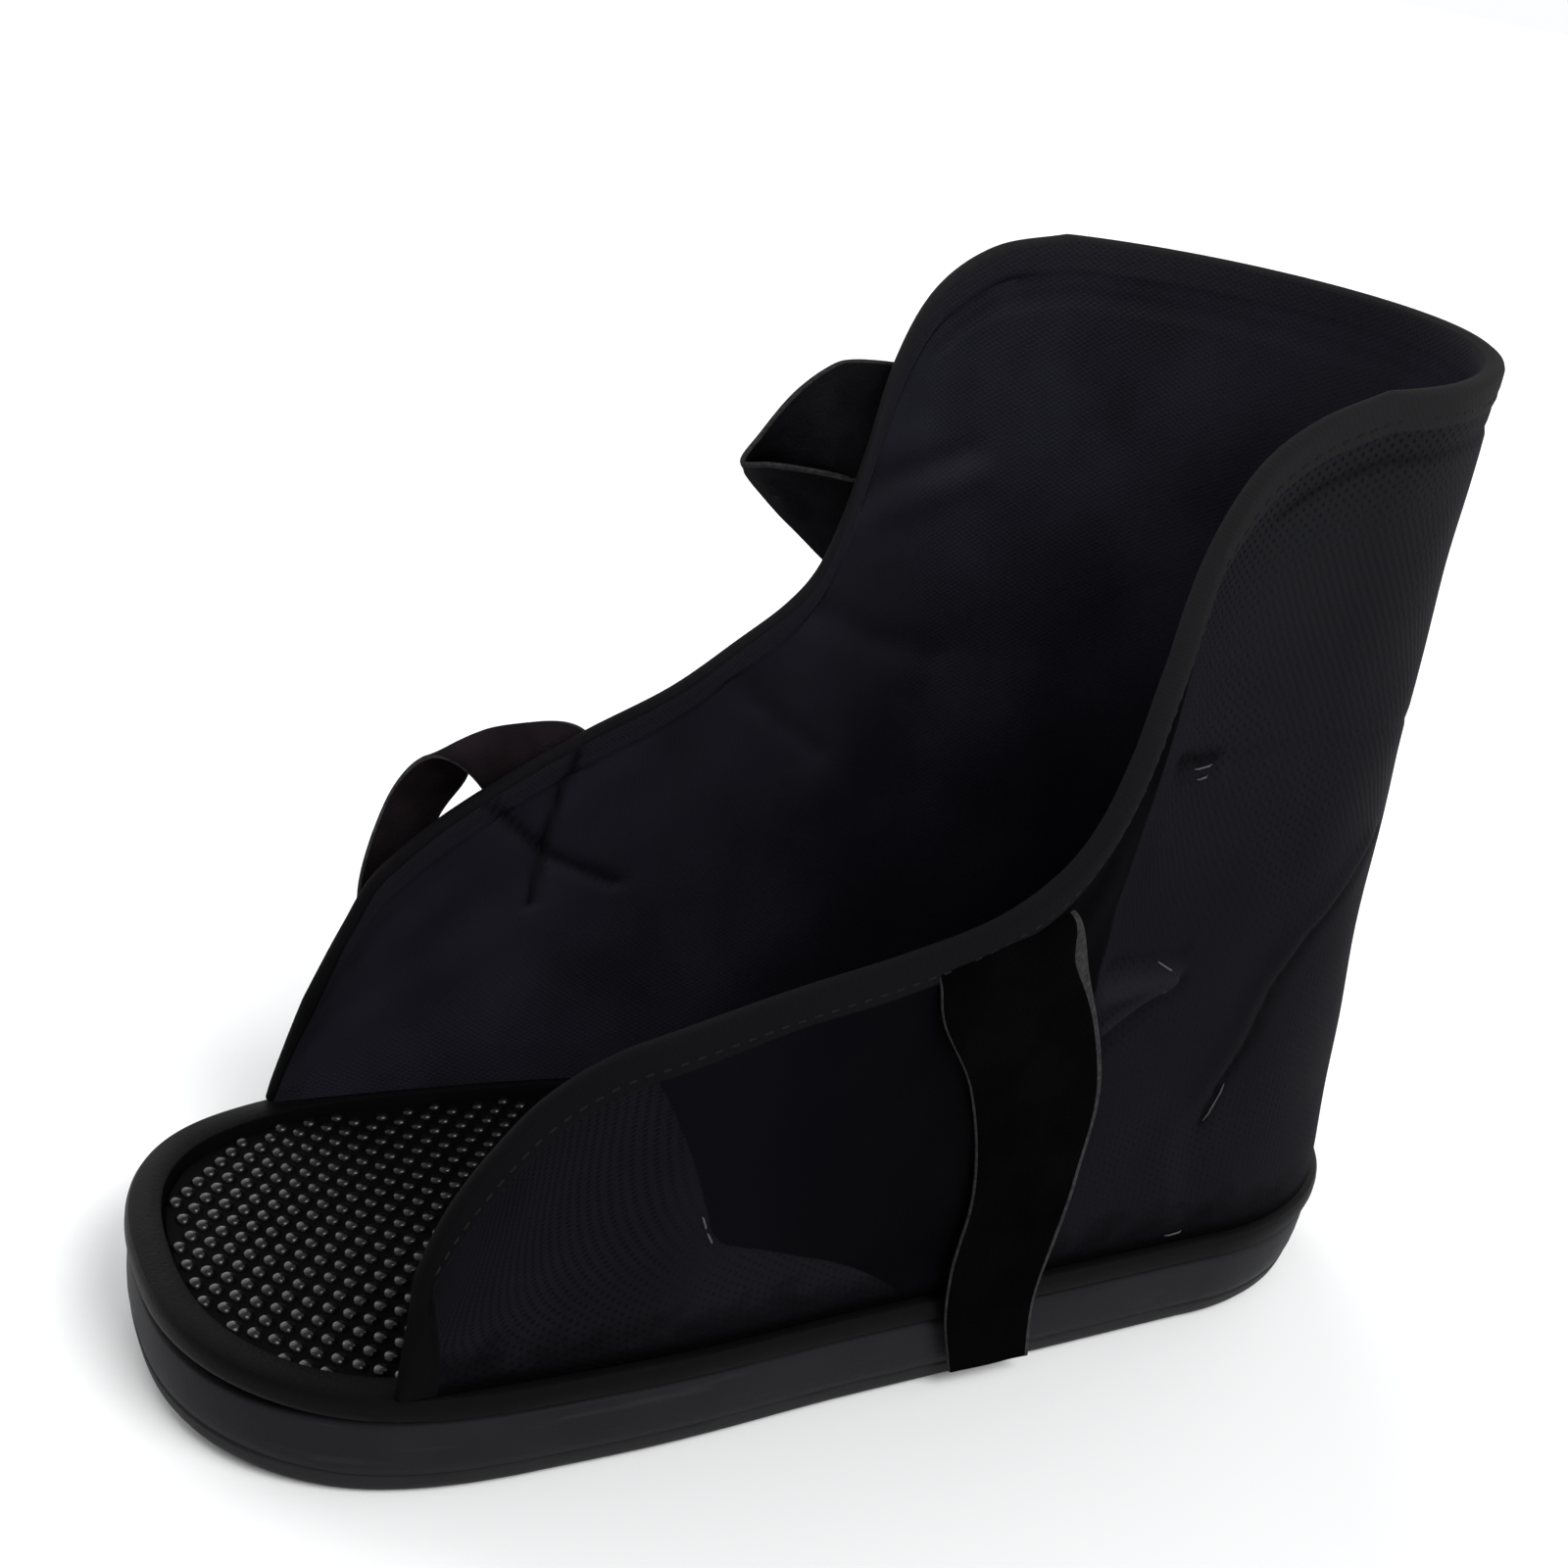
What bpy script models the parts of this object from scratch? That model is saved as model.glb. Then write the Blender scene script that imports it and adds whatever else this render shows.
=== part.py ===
"""Post operative shoe: sole, insole, hollow upper and three straps, each one closed solid.

+X points to the toe, +Y to the wearer's left and +Z up. The flat underside of the sole is Z = 0.
Sizes and tables are in millimetres; meshes are made in metres.
"""
import math
from collections import namedtuple

import bpy
import numpy as np

MM = 0.001
GAP = 0.3
SHARP_ANGLE = math.radians(40.0)
HALVINGS = 40

# Driving sizes
LENGTH = 300.0
BALL_WIDTH = 112.4
HEEL_WIDTH = 90.0
SHAFT_HEIGHT = 237.0

# Sole outline seen from above: a rounded toe, the side and a rounded heel
TOE_X = LENGTH / 2
HEEL_X = -LENGTH / 2
TOE_ROUND_X = 83.0
HEEL_ROUND_X = -90.0
TOE_POWER = 2.44
HEEL_POWER = 1.9
TOE_STEPS = 14
SIDE_STEPS = 16
HEEL_STEPS = 14

# along: share of the way from the toe's round to the heel's; spread: share of the way from
# the heel's width to the ball's
Width = namedtuple("Width", "place along spread")
SOLE_WIDTHS = (
    Width("ball", 0.0, 1.0),
    Width("ball back", 0.191, 0.911),
    Width("waist", 0.422, 0.589),
    Width("heel front", 0.665, 0.339),
    Width("heel", 1.0, 0.0),
)

# The toe lifts off the floor and the heel end leans in towards the floor
TOE_SPRING = 2.0
SPRING_START_X = 112.0
HEEL_RAKE = 1.2
RAKE_START_X = -120.0

# Sole heights and the widths of its edges
OUTSOLE_TOP = 5.0
BAND_TOP = 17.8
RIM_TOP = 25.0
FOOTBED_FLOOR = 20.0
INSOLE_TOP = 22.3
SIDE_DEPTH = 5.4
RIM_WIDTH = 7.2
RIM_ROUND = 0.6
RECESS_LEAN = 0.4
INSOLE_ROUND = 0.9
RECESS_INSET = RIM_WIDTH + RECESS_LEAN

# Each ring is the outline moved in by a share of SIDE_DEPTH, at a share of its layer's height
Ring = namedtuple("Ring", "place inset height")
OUTSOLE_RINGS = (
    Ring("floor flat", 1.0, 0.0),
    Ring("lower corner", 0.67, 0.1),
    Ring("lower corner top", 0.48, 0.34),
    Ring("side", 0.41, 0.6),
    Ring("outsole top", 0.35, 1.0),
)
BAND_RINGS = (
    Ring("band bottom", 0.35, 0.0),
    Ring("band low", 0.24, 0.3),
    Ring("band middle", 0.185, 0.7),
    Ring("band high", 0.185, 0.96),
    Ring("groove shoulder", 0.28, 1.0),
)
LIP_RINGS = (
    Ring("groove floor", 0.46, 0.056),
    Ring("groove roof", 0.46, 0.153),
    Ring("lip bottom", 0.15, 0.222),
    Ring("lip", 0.0, 0.417),
    Ring("lip high", 0.0, 0.694),
    Ring("lip corner", 0.09, 0.903),
    Ring("rim outside", 0.28, 1.0),
)

# Upper: wall, where it stands on the rim, and its hem
WALL = 3.6
UPPER_FOOT_Z = RIM_TOP + GAP
SHAFT_RISE = SHAFT_HEIGHT - UPPER_FOOT_Z
UPPER_FOOT_INSET = 2.2
HEM_WIDTH = 6.0
HEM_STEP = 0.6
HEM_RAMP = 1.0
RIM_CROWN = 0.9
FLAP_BELLY = 2.0
BACK_BOW = 4.0
BODY_ROWS = 10
SECTION_STEPS = 2
BACK_COLUMNS = 12

# Flap and shaft sections from the front edge to the collar. Columns x are shares of LENGTH,
# z of SHAFT_RISE, top_half of half of BALL_WIDTH and belly of FLAP_BELLY. The flap on the right
# side, once opened, has settled further back at the front and higher at the ankle: far_x, far_z
Section = namedtuple("Section", "place foot_x top_x top_z far_x far_z top_half belly")
SECTIONS = (
    Section("front edge", 0.367, 0.366, 0.126, 0.348, 0.117, 0.948, 0.2),
    Section("front corner", 0.345, 0.357, 0.166, 0.333, 0.173, 0.947, 0.35),
    Section("nose", 0.322, 0.344, 0.206, 0.323, 0.209, 0.943, 0.5),
    Section("hump front", 0.295, 0.324, 0.249, 0.31, 0.254, 0.938, 0.7),
    Section("hump", 0.267, 0.297, 0.294, 0.292, 0.286, 0.936, 0.9),
    Section("hump back", 0.233, 0.258, 0.332, 0.258, 0.328, 0.947, 1.0),
    Section("forefoot", 0.195, 0.207, 0.36, 0.208, 0.374, 0.968, 1.0),
    Section("instep", 0.152, 0.143, 0.393, 0.15, 0.419, 0.996, 0.9),
    Section("instep back", 0.103, 0.068, 0.426, 0.083, 0.466, 1.025, 0.7),
    Section("bend", 0.05, 0.008, 0.459, 0.03, 0.521, 1.043, 0.4),
    Section("ankle low", 0.003, -0.033, 0.504, -0.007, 0.563, 1.053, 0.2),
    Section("ankle", -0.04, -0.057, 0.558, -0.03, 0.606, 1.057, 0.0),
    Section("ankle high", -0.08, -0.072, 0.632, -0.043, 0.667, 1.053, 0.0),
    Section("shaft", -0.12, -0.08, 0.721, -0.052, 0.75, 1.046, 0.2),
    Section("shaft high", -0.16, -0.088, 0.821, -0.06, 0.849, 1.036, 0.5),
    Section("shaft corner", -0.2, -0.112, 0.898, -0.08, 0.927, 1.021, 0.6),
    Section("collar front", -0.243, -0.15, 0.943, -0.12, 0.976, 1.004, 0.5),
    Section("collar", HEEL_ROUND_X / LENGTH, -0.203, 0.974, -0.177, 0.998, 0.986, 0.2),
)
BACK_TOP_X = -118.5

# Straps: every row is one fold line, given at the strap's toe edge and its heel edge as a place
# on the flap seen from the side, x and z as in SECTIONS, and how far it stands out from the flap,
# as a share of the strap's own reach
STRAP_THICKNESS = 2.4
INSTEP_REACH = 3.9
FOREFOOT_REACH = 21.7
ANKLE_REACH = 24.7
STRAP_STEPS = 4
STRAP_WIDTH_POINTS = 5
Fold = namedtuple("Fold", "place toe_x toe_z toe_out heel_x heel_z heel_out")
INSTEP_FOLDS = (
    Fold("root", 0.047, 0.407, 0.06, -0.048, 0.462, 0.06),
    Fold("under the hem", 0.037, 0.362, 0.06, -0.068, 0.41, 0.06),
    Fold("upper wave", 0.001, 0.287, 0.05, -0.1, 0.325, 0.05),
    Fold("middle", -0.024, 0.202, 0.05, -0.123, 0.235, 0.05),
    Fold("lower wave", -0.037, 0.117, 0.154, -0.127, 0.14, 0.154),
    Fold("above the lip", -0.036, 0.036, 0.59, -0.12, 0.06, 0.538),
    Fold("past the lip", -0.042, -0.025, 0.718, -0.12, -0.016, 0.718),
    Fold("end", -0.06, -0.096, 1.0, -0.128, -0.096, 0.923),
)
FOREFOOT_FOLDS = (
    Fold("root", 0.173, 0.239, 0.0, 0.1, 0.315, 0.0),
    Fold("sewn", 0.197, 0.291, 0.0, 0.123, 0.367, 0.0),
    Fold("topline", 0.223, 0.35, 0.041, 0.153, 0.417, 0.06),
    Fold("rise", 0.247, 0.381, 0.124, 0.19, 0.417, 0.263),
    Fold("crest", 0.27, 0.381, 0.25, 0.228, 0.397, 0.45),
    Fold("fall", 0.289, 0.345, 0.36, 0.231, 0.347, 0.45),
    Fold("hang high", 0.302, 0.292, 0.32, 0.241, 0.274, 0.75),
    Fold("hang", 0.306, 0.218, 0.25, 0.239, 0.2, 0.75),
    Fold("end", 0.297, 0.117, 0.171, 0.233, 0.107, 0.677),
)
ANKLE_FOLDS = (
    Fold("root", -0.127, 0.717, 0.0, -0.117, 0.835, 0.0),
    Fold("sewn", -0.09, 0.717, 0.0, -0.083, 0.839, 0.0),
    Fold("leaves the flap", -0.055, 0.714, 0.045, -0.05, 0.839, 0.036),
    Fold("out", -0.032, 0.688, 0.312, -0.025, 0.828, 0.069),
    Fold("bend over", -0.013, 0.665, 0.595, 0.004, 0.793, 0.093),
    Fold("tip high", -0.004, 0.674, 0.858, 0.029, 0.746, 0.109),
    Fold("tip low", 0.0, 0.673, 1.0, 0.043, 0.715, 0.109),
    Fold("back under", -0.018, 0.649, 0.919, 0.018, 0.712, 0.109),
    Fold("return", -0.031, 0.628, 0.615, -0.02, 0.708, 0.117),
    Fold("tuck", -0.052, 0.6, 0.291, -0.061, 0.705, 0.134),
    Fold("end", -0.09, 0.58, 0.158, -0.1, 0.698, 0.158),
)


def smooth(value):
    """Eases 0 to 1 with level ends."""
    t = np.clip(value, 0.0, 1.0)
    return t * t * (3.0 - 2.0 * t)


def curve(rows, where):
    """Smooth curve through equally spaced rows, read at the fractional row numbers in where."""
    rows = np.asarray(rows, float)
    first = 2 * rows[0] - rows[1]
    last = 2 * rows[-1] - rows[-2]
    ends = np.concatenate(([first], rows, [last]))
    where = np.clip(np.atleast_1d(where), 0.0, len(rows) - 1.0)
    start = np.minimum(where.astype(int), len(rows) - 2)
    t = (where - start).reshape((-1,) + (1,) * (rows.ndim - 1))
    a, b, c, d = (ends[start + k] for k in range(4))
    return b + 0.5 * t * (c - a + t * (2 * a - 5 * b + 4 * c - d + t * (3 * (b - c) + d - a)))


def side_half(x):
    """Half-width of the sole between the two rounded ends."""
    along = (TOE_ROUND_X - np.asarray(x, float)) / (TOE_ROUND_X - HEEL_ROUND_X)
    rows = np.interp(along, [row.along for row in SOLE_WIDTHS], np.arange(len(SOLE_WIDTHS)))
    spread = curve([row.spread for row in SOLE_WIDTHS], rows)
    return (HEEL_WIDTH + (BALL_WIDTH - HEEL_WIDTH) * spread) / 2


def near_outline():
    """Left edge of the sole from the toe tip to the heel tip."""
    toe_half = BALL_WIDTH / 2
    heel_half = HEEL_WIDTH / 2
    turn = np.linspace(0.0, math.pi / 2, TOE_STEPS + 1)
    toe = np.c_[
        TOE_ROUND_X + (TOE_X - TOE_ROUND_X) * np.abs(np.cos(turn)) ** (2 / TOE_POWER),
        toe_half * np.sin(turn) ** (2 / TOE_POWER),
    ]
    toe[-1] = TOE_ROUND_X, toe_half
    x = np.linspace(TOE_ROUND_X, HEEL_ROUND_X, SIDE_STEPS + 1)[1:-1]
    side = np.c_[x, side_half(x)]
    turn = np.linspace(0.0, math.pi / 2, HEEL_STEPS + 1)
    heel = np.c_[
        HEEL_ROUND_X + (HEEL_X - HEEL_ROUND_X) * np.sin(turn) ** (2 / HEEL_POWER),
        heel_half * np.abs(np.cos(turn)) ** (2 / HEEL_POWER),
    ]
    heel[-1] = HEEL_X, 0.0
    return np.concatenate((toe, side, heel))


def outline(inset):
    """Closed outline moved inwards by inset, toe tip first, left edge first."""
    near = near_outline()
    far = near[-2:0:-1] * (1.0, -1.0)
    ring = np.concatenate((near, far))
    along = np.roll(ring, -1, axis=0) - np.roll(ring, 1, axis=0)
    along /= np.linalg.norm(along, axis=1)[:, None]
    inward = np.c_[-along[:, 1], along[:, 0]]
    return ring + inward * inset


def layer(rows, bottom, top):
    """Insets and heights of one layer's rings."""
    return [(row.inset * SIDE_DEPTH, bottom + row.height * (top - bottom)) for row in rows]


def sole_ring(inset, z):
    """One ring of the sole, with the toe spring and the heel's lean."""
    plan = outline(inset)
    x = plan[:, 0]
    lean = HEEL_RAKE * smooth((RAKE_START_X - x) / (RAKE_START_X - HEEL_X))
    lift = TOE_SPRING * smooth((x - SPRING_START_X) / (TOE_X - SPRING_START_X))
    below_band = np.clip(1.0 - z / BAND_TOP, 0.0, 1.0)
    return np.c_[x + lean * below_band, plan[:, 1], z + lift]


def ladder(start, count, upwards):
    """Faces that close a ring across the shoe, from its left edge to its right edge."""
    half = count // 2
    faces = []
    for i in range(half):
        corners = [i, i + 1, count - i - 1, (count - i) % count]
        corners = list(dict.fromkeys(corners))
        if not upwards:
            corners.reverse()
        faces.append([start + c for c in corners])
    return faces


def ring_faces(rings):
    """Points and faces of a solid lofted through rings, closed at both ends."""
    count = len(rings[0])
    faces = ladder(0, count, False)
    for level in range(len(rings) - 1):
        low = level * count
        high = low + count
        for i in range(count):
            j = (i + 1) % count
            faces.append([low + i, low + j, high + j, high + i])
    faces += ladder((len(rings) - 1) * count, count, True)
    return np.concatenate(rings), faces


def make_material(name, colour, roughness):
    """One Principled material."""
    material = bpy.data.materials.new(name)
    material.use_nodes = True
    shader = material.node_tree.nodes["Principled BSDF"]
    shader.inputs["Base Color"].default_value = (*colour, 1.0)
    shader.inputs["Roughness"].default_value = roughness
    shader.inputs["Metallic"].default_value = 0.0
    return material


def make_object(name, points, faces, material, collection):
    """One shaded object from points in millimetres, its faces turned outwards."""
    points = np.asarray(points, float)
    mesh = bpy.data.meshes.new(name)
    mesh.from_pydata((points * MM).tolist(), [], faces)
    mesh.validate()
    mesh.update()
    mesh.calc_loop_triangles()
    volume = 0.0
    for triangle in mesh.loop_triangles:
        a, b, c = (mesh.vertices[i].co for i in triangle.vertices)
        volume += a.dot(b.cross(c))
    if volume < 0.0:
        mesh.flip_normals()
    mesh.shade_smooth()
    mesh.set_sharp_from_angle(angle=SHARP_ANGLE)
    mesh.materials.append(material)
    made = bpy.data.objects.new(name, mesh)
    collection.objects.link(made)
    return made


def foot_point(x):
    """Where the flap's outer face stands on the sole's rim at one station of its side."""
    return side_half(x) - UPPER_FOOT_INSET


def side_columns(where, side):
    """Foot point, top point and belly of one flap at fractional section numbers."""
    if side > 0:
        rows = [[s.foot_x, s.top_x, s.top_z, s.top_half, s.belly] for s in SECTIONS]
    else:
        rows = [[s.foot_x, s.far_x, s.far_z, s.top_half, s.belly] for s in SECTIONS]
    foot_x, top_x, top_z, top_half, belly = curve(rows, where).T
    foot_x, top_x = foot_x * LENGTH, top_x * LENGTH
    top_z = UPPER_FOOT_Z + top_z * SHAFT_RISE
    top_half, belly = top_half * BALL_WIDTH / 2, belly * FLAP_BELLY
    foot = np.c_[foot_x, side * foot_point(foot_x), np.full(len(foot_x), UPPER_FOOT_Z)]
    top = np.c_[top_x, side * top_half, top_z]
    return foot, top, side * belly


def back_columns(side):
    """Foot, top and turn of the columns from one flap to the middle of the back."""
    turn = np.linspace(0.0, math.pi / 2, BACK_COLUMNS + 1)[1:]
    plan = outline(UPPER_FOOT_INSET)[: len(near_outline())]
    foot = curve(plan[-HEEL_STEPS - 1:], turn / (math.pi / 2) * HEEL_STEPS)
    start = side_columns([len(SECTIONS) - 1.0], side)[1][0]
    reach = np.sin(turn)
    top = np.c_[
        start[0] + (BACK_TOP_X - start[0]) * reach,
        start[1] * np.cos(turn),
        start[2] + (SHAFT_HEIGHT - start[2]) * reach,
    ]
    foot = np.c_[foot[:, 0], side * foot[:, 1], np.full(len(foot), UPPER_FOOT_Z)]
    foot[-1, 1] = top[-1, 1] = 0.0
    return foot, top, turn


def upper_columns(side):
    """All columns of one half: foot, top and the belly or bow as a vector."""
    count = (len(SECTIONS) - 1) * SECTION_STEPS
    foot, top, belly = side_columns(np.arange(count + 1) / SECTION_STEPS, side)
    bulge = np.c_[np.zeros(len(belly)), belly, np.zeros(len(belly))]
    back_foot, back_top, turn = back_columns(side)
    amount = -BACK_BOW * np.sin(turn) + SECTIONS[-1].belly * FLAP_BELLY * np.cos(turn)
    back_bulge = np.c_[-np.sin(turn) * amount, side * np.cos(turn) * amount, np.zeros(len(turn))]
    back_bulge[-1, 1] = 0.0
    return (
        np.concatenate((foot, back_foot)),
        np.concatenate((top, back_top)),
        np.concatenate((bulge, back_bulge)),
    )


def grid_normals(grid, outward):
    """Unit normals of a grid of points, all on the outward side."""
    across = np.gradient(grid, axis=0)
    upward = np.gradient(grid, axis=1)
    normal = np.cross(across, upward)
    normal /= np.linalg.norm(normal, axis=2)[:, :, None]
    facing = np.sum(normal * outward, axis=2, keepdims=True)
    return normal * np.where(facing < 0.0, -1.0, 1.0)


def shell_faces(columns, rows, close_top=True):
    """Faces of a wall: an outer grid, an inner grid and the strips that join their edges."""
    faces = []
    inner = columns * rows

    def at(side, c, r):
        return side * inner + c * rows + r

    for c in range(columns - 1):
        for r in range(rows - 1):
            faces.append([at(0, c, r), at(0, c + 1, r), at(0, c + 1, r + 1), at(0, c, r + 1)])
            faces.append([at(1, c, r), at(1, c, r + 1), at(1, c + 1, r + 1), at(1, c + 1, r)])
        faces.append([at(0, c + 1, 0), at(0, c, 0), at(1, c, 0), at(1, c + 1, 0)])
        if close_top:
            top = rows - 1
            faces.append([at(0, c, top), at(0, c + 1, top), at(1, c + 1, top), at(1, c, top)])
    for r in range(rows - 1):
        end = columns - 1
        faces.append([at(0, 0, r), at(0, 0, r + 1), at(1, 0, r + 1), at(1, 0, r)])
        faces.append([at(0, end, r + 1), at(0, end, r), at(1, end, r), at(1, end, r + 1)])
    return faces


def rim_faces(columns, rows):
    """Faces of the crown that rounds the wall's upper edge, between both grids and a ridge line."""
    inner = columns * rows
    ridge = 2 * inner
    out = [c * rows + rows - 1 for c in range(columns)]
    faces = []
    for c in range(columns - 1):
        faces.append([out[c], out[c + 1], ridge + c + 1, ridge + c])
        faces.append([ridge + c, ridge + c + 1, inner + out[c + 1], inner + out[c]])
    faces.append([out[0], ridge, inner + out[0]])
    faces.append([out[-1], inner + out[-1], ridge + columns - 1])
    return faces


def build_upper():
    """The hollow upper: both flaps, heel and shaft as one wall with a stepped hem."""
    halves = zip(upper_columns(1.0), upper_columns(-1.0))
    foot, top, bulge = (np.concatenate((near, far[-2::-1])) for near, far in halves)
    length = np.linalg.norm(top - foot, axis=1)
    hem = 1.0 - HEM_WIDTH / length
    ramp = HEM_RAMP / length
    body = np.linspace(0.0, 1.0, BODY_ROWS + 1)[None, :] * (hem - ramp)[:, None]
    rows = np.c_[body, hem, (1.0 + hem) / 2, np.ones(len(hem))]
    columns, count = rows.shape

    share = rows[:, :, None]
    outer = foot[:, None] * (1 - share) + top[:, None] * share
    outer += bulge[:, None] * np.sin(math.pi * share)
    behind = np.minimum(outer[:, :, 0] - HEEL_ROUND_X, 0.0)
    outward = np.stack((behind, outer[:, :, 1], np.zeros(behind.shape)), axis=2)
    normal = grid_normals(outer, outward)
    normal[columns // 2, :, 1] = 0.0
    inner = outer - normal * WALL

    proud = np.zeros(rows.shape)
    proud[:, BODY_ROWS + 1:] = HEM_STEP
    proud[:1] = proud[-1:] = HEM_STEP
    outer += normal * proud[:, :, None]
    outer[:, 0, 2] = inner[:, 0, 2] = UPPER_FOOT_Z
    ridge = (outer[:, -1] + inner[:, -1]) / 2 + (top - foot) / length[:, None] * RIM_CROWN
    points = np.concatenate((outer.reshape(-1, 3), inner.reshape(-1, 3), ridge))
    return points, shell_faces(columns, count, close_top=False) + rim_faces(columns, count)


def flap_half(x, z, side):
    """Half-width of one flap's outer face at places seen from the side."""
    x = np.asarray(x, float)
    z = np.asarray(z, float)
    low = np.zeros(x.shape)
    high = np.full(x.shape, len(SECTIONS) - 1.0)
    for _ in range(HALVINGS):
        middle = (low + high) / 2
        foot, top, belly = side_columns(middle, side)
        share = (z - UPPER_FOOT_Z) / (top[:, 2] - UPPER_FOOT_Z)
        ahead = foot[:, 0] + (top[:, 0] - foot[:, 0]) * share > x
        low = np.where(ahead, middle, low)
        high = np.where(ahead, high, middle)
    held = np.clip(share, 0.0, 1.0)
    half = foot[:, 1] + (top[:, 1] - foot[:, 1]) * share + belly * np.sin(math.pi * held)
    return side * half


def build_strap(folds, side, reach):
    """A strap lofted through its folds on one side of the shoe."""
    rows = np.array([fold[1:] for fold in folds], float)
    steps = (len(folds) - 1) * STRAP_STEPS
    line = curve(rows, np.arange(steps + 1) / STRAP_STEPS)
    share = np.linspace(0.0, 1.0, STRAP_WIDTH_POINTS)[None, :, None]
    grid = line[:, None, :3] * (1 - share) + line[:, None, 3:] * share
    x = grid[:, :, 0] * LENGTH
    z = UPPER_FOOT_Z + grid[:, :, 1] * SHAFT_RISE
    out = GAP + grid[:, :, 2] * reach
    half = flap_half(x.ravel(), z.ravel(), side).reshape(x.shape)
    middle = np.stack((x, side * (half + out + STRAP_THICKNESS / 2), z), axis=2)
    across = np.gradient(middle, axis=0)
    width = np.gradient(middle, axis=1)
    normal = np.cross(across, width)
    normal /= np.linalg.norm(normal, axis=2)[:, :, None]
    if normal[0, 0, 1] * side < 0.0:
        normal = -normal
    outer = middle + normal * STRAP_THICKNESS / 2
    inner = middle - normal * STRAP_THICKNESS / 2
    points = np.concatenate((outer.reshape(-1, 3), inner.reshape(-1, 3)))
    return points, shell_faces(steps + 1, STRAP_WIDTH_POINTS)


def main():
    for item in list(bpy.data.objects):
        bpy.data.objects.remove(item, do_unlink=True)
    shoe = bpy.data.collections.new("post_operative_shoe")
    bpy.context.scene.collection.children.link(shoe)

    charcoal = make_material("charcoal_foam", (0.034, 0.035, 0.038), 0.62)
    rubber = make_material("dark_rubber", (0.026, 0.027, 0.029), 0.70)
    footbed = make_material("black_footbed", (0.012, 0.012, 0.013), 0.50)
    mesh_cloth = make_material("black_mesh_cloth", (0.011, 0.012, 0.016), 0.85)
    pile_front = make_material("black_pile_instep", (0.006, 0.006, 0.007), 0.95)
    pile_fore = make_material("black_pile_forefoot", (0.008, 0.007, 0.007), 0.95)
    pile_ankle = make_material("black_pile_ankle", (0.008, 0.008, 0.008), 0.95)

    band = layer(BAND_RINGS, OUTSOLE_TOP + GAP, BAND_TOP)
    lip = layer(LIP_RINGS, BAND_TOP, RIM_TOP)
    recess = [
        (RIM_WIDTH - RIM_ROUND, RIM_TOP),
        (RIM_WIDTH, RIM_TOP - RIM_ROUND),
        (RECESS_INSET, FOOTBED_FLOOR),
    ]
    pad = [
        (RECESS_INSET + GAP, FOOTBED_FLOOR + GAP),
        (RECESS_INSET + GAP, INSOLE_TOP - INSOLE_ROUND),
        (RECESS_INSET + GAP + INSOLE_ROUND, INSOLE_TOP),
    ]
    for name, rings, material in (
        ("outsole", layer(OUTSOLE_RINGS, 0.0, OUTSOLE_TOP), rubber),
        ("midsole", band + lip + recess, charcoal),
        ("insole", pad, footbed),
    ):
        points, faces = ring_faces([sole_ring(*ring) for ring in rings])
        make_object(name, points, faces, material, shoe)

    points, faces = build_upper()
    make_object("upper", points, faces, mesh_cloth, shoe)

    for name, folds, side, reach, material in (
        ("instep_strap", INSTEP_FOLDS, 1.0, INSTEP_REACH, pile_front),
        ("forefoot_strap", FOREFOOT_FOLDS, -1.0, FOREFOOT_REACH, pile_fore),
        ("ankle_strap", ANKLE_FOLDS, -1.0, ANKLE_REACH, pile_ankle),
    ):
        points, faces = build_strap(folds, side, reach)
        make_object(name, points, faces, material, shoe)


main()
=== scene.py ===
"""Looks of the post operative shoe: cloth upper, pile straps, foam sole, studded footbed.

+X points to the toe, +Y to the wearer's left and +Z up. Lengths are in millimetres and meshes are
made in metres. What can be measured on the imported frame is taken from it.
"""
from collections import namedtuple
from math import cos, pi, radians, sin, sqrt

import bpy
import numpy as np
from mathutils import Matrix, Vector
from numpy import concatenate as join
from numpy.linalg import norm


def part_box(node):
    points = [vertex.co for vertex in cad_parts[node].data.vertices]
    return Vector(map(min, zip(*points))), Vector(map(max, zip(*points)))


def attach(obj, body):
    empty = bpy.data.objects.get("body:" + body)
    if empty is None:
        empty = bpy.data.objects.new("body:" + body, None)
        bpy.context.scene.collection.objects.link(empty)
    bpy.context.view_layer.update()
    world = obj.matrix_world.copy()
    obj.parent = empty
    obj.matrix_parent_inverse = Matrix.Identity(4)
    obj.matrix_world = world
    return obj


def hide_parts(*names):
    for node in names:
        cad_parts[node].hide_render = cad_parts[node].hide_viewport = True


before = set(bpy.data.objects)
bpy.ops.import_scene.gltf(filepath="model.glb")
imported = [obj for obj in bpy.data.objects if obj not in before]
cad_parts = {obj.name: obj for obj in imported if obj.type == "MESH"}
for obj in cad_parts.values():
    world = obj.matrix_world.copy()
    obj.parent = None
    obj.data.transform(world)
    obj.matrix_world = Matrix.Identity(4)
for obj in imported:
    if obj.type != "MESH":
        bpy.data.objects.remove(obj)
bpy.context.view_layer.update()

MM = 0.001
GAP = 0.3
SHARP_ANGLE = radians(35.0)
HALVINGS = 40


def node_box(node):
    """Lowest and highest corner of one solid of the frame, in millimetres."""
    return np.array(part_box(node)) / MM


def table(columns, rows):
    """A table whose rows have named columns."""
    kind = namedtuple("Row", columns)
    return tuple(kind(*row) for row in rows)


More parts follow.
